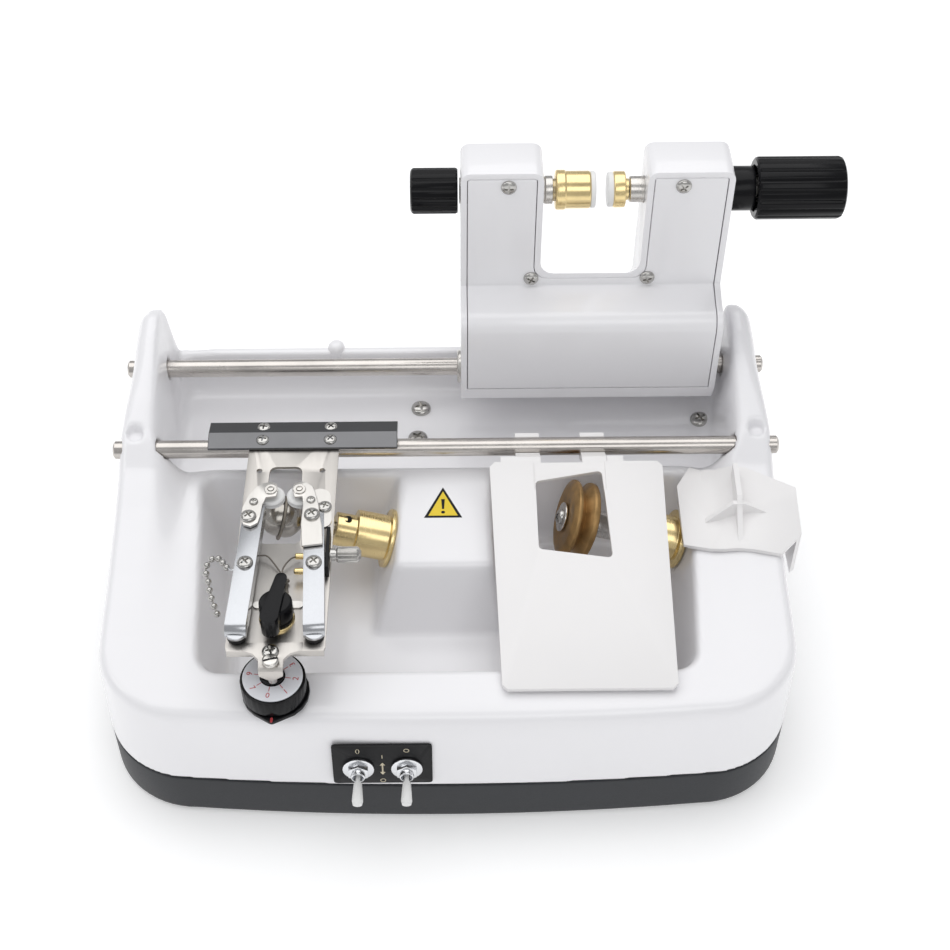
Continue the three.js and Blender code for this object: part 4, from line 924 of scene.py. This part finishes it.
def make_trimmings():
    """The small loose parts on the carriage: a lock plate, threads, brass tips and the selector's seat."""
    right = ROLLERS[1]
    body = body_of_node("right_guide_arm")
    lock = round_bar(right.x + 8.6, right.y - 2.5, right.x + 9.6, right.y - 15.5, 4.4)
    mesh_piece("lock_plate", *tablet(lock, FINGER_TOP - 2.9, FINGER_TOP - 1.7), SHEET, body)
    screws("lock_screw", body, [(right.x + 10.9, right.y - 8.6, FINGER_TOP - 1.75, 2.9, 70)])
    for number, y in enumerate((-41.5, -49.4)):
        tip = [(0, -61.4), (0.9, -61.4), (1.3, -60.9), (1.3, -57.2), (0, -57.2)]
        turned_piece(f"brass_tip_{number}", tip, BRASS, body, "x", (0, y, 99.4), sides=24)
    plate = body_of_node("carriage_plate")
    loops = [smooth_route([(-76, -39, 97.2), (-72.6, -40, 97.6), (-68, -46, 96.4), (-65, -51.6, 96.6)]),
             smooth_route([(-60, -39.4, 97.0), (-63.4, -41.4, 97.6), (-66.4, -46.4, 96.6),
                           (-64.6, -52.2, 96.5)])]
    parts = [wire(route, 0.35) for route in loops]
    parts.append(wire(smooth_route([(-66.3, -51.4, 96.3), (-65, -52.6, 96.9), (-63.7, -51.6, 96.3)]), 0.85))
    mesh_piece("threads", *merged(parts), THREAD, plate, 60.0)
    seat = [(5.2, PLATE_TOP), (7.1, PLATE_TOP), (7.1, PLATE_TOP + 0.8), (6.8, PLATE_TOP + 1.0),
            (6.3, PLATE_TOP + 1.0)]
    turned_piece("selector_seat", seat + [(6.3, PLATE_TOP)], BRASS, plate, "z", (SELECTOR.x, SELECTOR.y, 0))
    wing = round_bar(SELECTOR.x - 8.3, SELECTOR.y + 6.6, SELECTOR.x + 8.3, SELECTOR.y + 6.6, 1.7)
    mesh_piece("selector_wing", *tablet(wing, PLATE_TOP, PLATE_TOP + 0.7), SHEET, plate)


CHAIN = [(-88.6, -47.2, 99.5), (-92.7, -41.5, 98.5), (-96.3, -40.9, 96.5), (-98, -44.2, 94.5),
         (-97.1, -47, 92.5), (-96.2, -51.1, 89.5), (-95.2, -54.3, 88), (-94.3, -56.4, 86.5),
         (-92.9, -59.4, 85)]
BEAD = 1.42  # radius of one bead
BEAD_PITCH = 3.3


def make_chain():
    """Round beads on a wire, hanging from the eyelet on the left arm out over the basin."""
    curve = smooth_route(CHAIN, 16)
    reach = np.concatenate([[0], np.cumsum([np.linalg.norm(b - a) for a, b in zip(curve, curve[1:])])])
    count = round(reach[-1] / BEAD_PITCH)
    parts = [wire(curve[::4] + [curve[-1]], 0.4)]
    bead = [(BEAD * math.cos(t), BEAD * math.sin(t)) for t in np.linspace(-math.pi / 2, math.pi / 2, 13)]
    for step in range(count + 1):
        spot = [np.interp(reach[-1] * step / count, reach, [p[k] for p in curve]) for k in range(3)]
        parts.append(lathe(bead, "z", spot, sides=20))
    piece = mesh_piece("beads", *merged(parts), SCREW, body_of_node("bead_chain"), 60.0, "chrome")
    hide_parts("bead_chain")
    eyelet = [CHAIN[0], (-86, -49.4, 100.6), (-84.4, -49.6, 102.6), (-83, -48.6, 103.9), (-81, -48.3, 104.2)]
    mesh_piece("eyelet_wire", *wire(smooth_route(eyelet), 0.4), CHROME, body_of_node("left_guide_arm"), 60.0)


def make_inner():
    """Pieces that the body hides keep their CAD shapes."""
    for node, material in (("transformer", MOTOR), ("groove_motor", MOTOR), ("chamfer_motor", MOTOR),
                           ("lens_motor", MOTOR), ("circuit_board", GREEN), ("drive_belt", RUBBER),
                           ("motor_pulley", PLAIN)):
        NODES[node].data.materials.clear()
        NODES[node].data.materials.append(material)


def make_chucks():
    """The two lens chucks with their knobs, on one axis through the head's arms."""
    axis = (0, CHUCK.y, CHUCK.z)
    body = body_of_node("left_chuck")
    left = [(0, 47.6), (7.9, 47.6), (8.5, 48.2), (8.5, 51.6), (8, 52), (8, 62), (7.6, 62.6), (0, 62.6)]
    lathe_piece("left_chuck_turned", eased(left, 0.25), BRASS, "left_chuck", "x", axis)
    neck = [(0, 6.7), (5.6, 6.7), (5.6, 38), (5.2, 38.2), (5.2, 39), (5.6, 39.2), (5.6, 43), (6.1, 43.4),
            (6.1, 46.4), (4.8, 46.6), (4.8, 47.6), (0, 47.6)]
    turned_piece("left_neck", eased(neck, 0.15), PLAIN, body, "x", axis)
    pad = [(0, 62.6), (7.5, 62.6), (7.8, 62.9), (7.8, 64.3), (7.4, 64.7), (0, 64.7)]
    turned_piece("left_pad", pad, NYLON, body, "x", axis)
    knob = [(0, -14.2), (8.3, -14.2), (9.3, -13.6), (9.7, -12.8), (9.7, 5), (9.2, 6), (0, 6)]
    lathe_piece("left_knob", knob, BLACK, "left_chuck_knob", "x", axis,
                sides=168, flutes=14, flute_depth=0.7, between=(-13.2, 5.6))
    body = body_of_node("right_chuck")
    right = [(0, 72.3), (7.3, 72.3), (7.7, 72.7), (7.7, 77), (7.3, 77.4), (4.6, 77.4), (4.6, 78.9), (0, 78.9)]
    lathe_piece("right_chuck_turned", eased(right, 0.2), BRASS, "right_chuck", "x", axis)
    pad = [(0, 69.9), (7, 69.9), (7.4, 70.3), (7.4, 72), (7.1, 72.3), (0, 72.3)]
    turned_piece("right_pad", pad, NYLON, body, "x", axis)
    shaft = [(0, 79.2), (5.2, 79.2), (5.6, 79.6), (5.6, 163.8), (0, 164)]
    lathe_piece("clamp_rod", shaft, PLAIN, "clamp_shaft", "x", axis)
    sleeve = [(5.9, 122.1), (9.5, 122.1), (9.5, 132), (5.9, 132), (5.9, 122.1)]
    lathe_piece("clamp_collar", eased(sleeve, 0.4), BLACK, "clamp_sleeve", "x", axis)
    knob = [(0, 165), (5.9, 165), (5.9, 148), (10, 148), (10, 132.6), (12.2, 132.6), (13.0, 133.2),
            (13.3, 134), (13.3, 168), (12.7, 169.4), (11.6, 170), (0, 170)]
    lathe_piece("clamp_grip", knob, BLACK, "clamp_knob", "x", axis,
                sides=216, flutes=18, flute_depth=0.8, between=(133.9, 168.1))


# ------------------------------------------------------------ floor, light and camera

def make_stage():
    """A pale, slightly glowing floor that runs far past the machine."""
    bpy.ops.mesh.primitive_plane_add(size=12, location=(0, 3, -0.0004))
    floor = bpy.context.object
    floor.name = "floor"
    material, nodes, links, shader = node_material("floor_paint", (0.93, 0.93, 0.93), 0.9)
    patches = stretched_noise(nodes, links, 3.0)
    links.new(tint(nodes, links, patches, (0.925, 0.925, 0.925), (0.935, 0.935, 0.935)),
              shader.inputs["Base Color"])
    shader.inputs["Emission Color"].default_value = (1, 1, 1, 1)
    shader.inputs["Emission Strength"].default_value = 0.28
    floor.data.materials.append(material)


def area_light(name, location, target, size, power):
    data = bpy.data.lights.new(name, "AREA")
    data.shape = "RECTANGLE"
    data.size, data.size_y = size
    data.energy = power
    light = bpy.data.objects.new(name, data)
    light.location = location
    light.rotation_euler = (Vector(target) - Vector(location)).to_track_quat("-Z", "Y").to_euler()
    bpy.context.scene.collection.objects.link(light)


def make_light():
    """A pale sky, a wide soft light overhead and two smaller ones from the left and the front."""
    world = bpy.data.worlds.new("studio")
    bpy.context.scene.world = world
    world.use_nodes = True
    background = world.node_tree.nodes["Background"]
    background.inputs["Color"].default_value = (0.97, 0.98, 1.0, 1)
    background.inputs["Strength"].default_value = 0.5
    area_light("overhead", (-0.1, 0.4, 1.25), (0, 0, 0.06), (1.6, 1.3), 8.6)
    area_light("key", (-0.9, -0.1, 0.9), (0, 0, 0.06), (0.4, 0.4), 0.9)
    area_light("front", (0.3, -1.0, 1.1), (0, 0, 0.1), (1.0, 0.6), 2.6)
    bpy.context.scene.view_settings.view_transform = "Standard"


def make_camera():
    """A pinhole about 0.75 m away, looking down at the front of the machine."""
    data = bpy.data.cameras.new("camera")
    data.sensor_width = 36
    data.lens = 60.6316
    data.shift_x = 0.030526
    camera = bpy.data.objects.new("camera", data)
    camera.location = to_frame([(0, -463, 592.3)])[0]
    pitch = Matrix.Rotation(math.radians(90 - 46.6), 3, "X")
    roll = Matrix.Rotation(math.radians(-0.5), 3, "Z")
    camera.rotation_euler = (pitch @ roll).to_euler()
    bpy.context.scene.collection.objects.link(camera)
    bpy.context.scene.camera = camera


make_camera()
make_stage()
make_light()
make_shell()
make_pan()
make_stops()
make_rails()
make_wheels()
make_dial()
make_switches()
make_warning()
make_sheets()
make_rollers()
make_adjusters()
make_screws()
make_trimmings()
make_chain()
make_chucks()
make_inner()
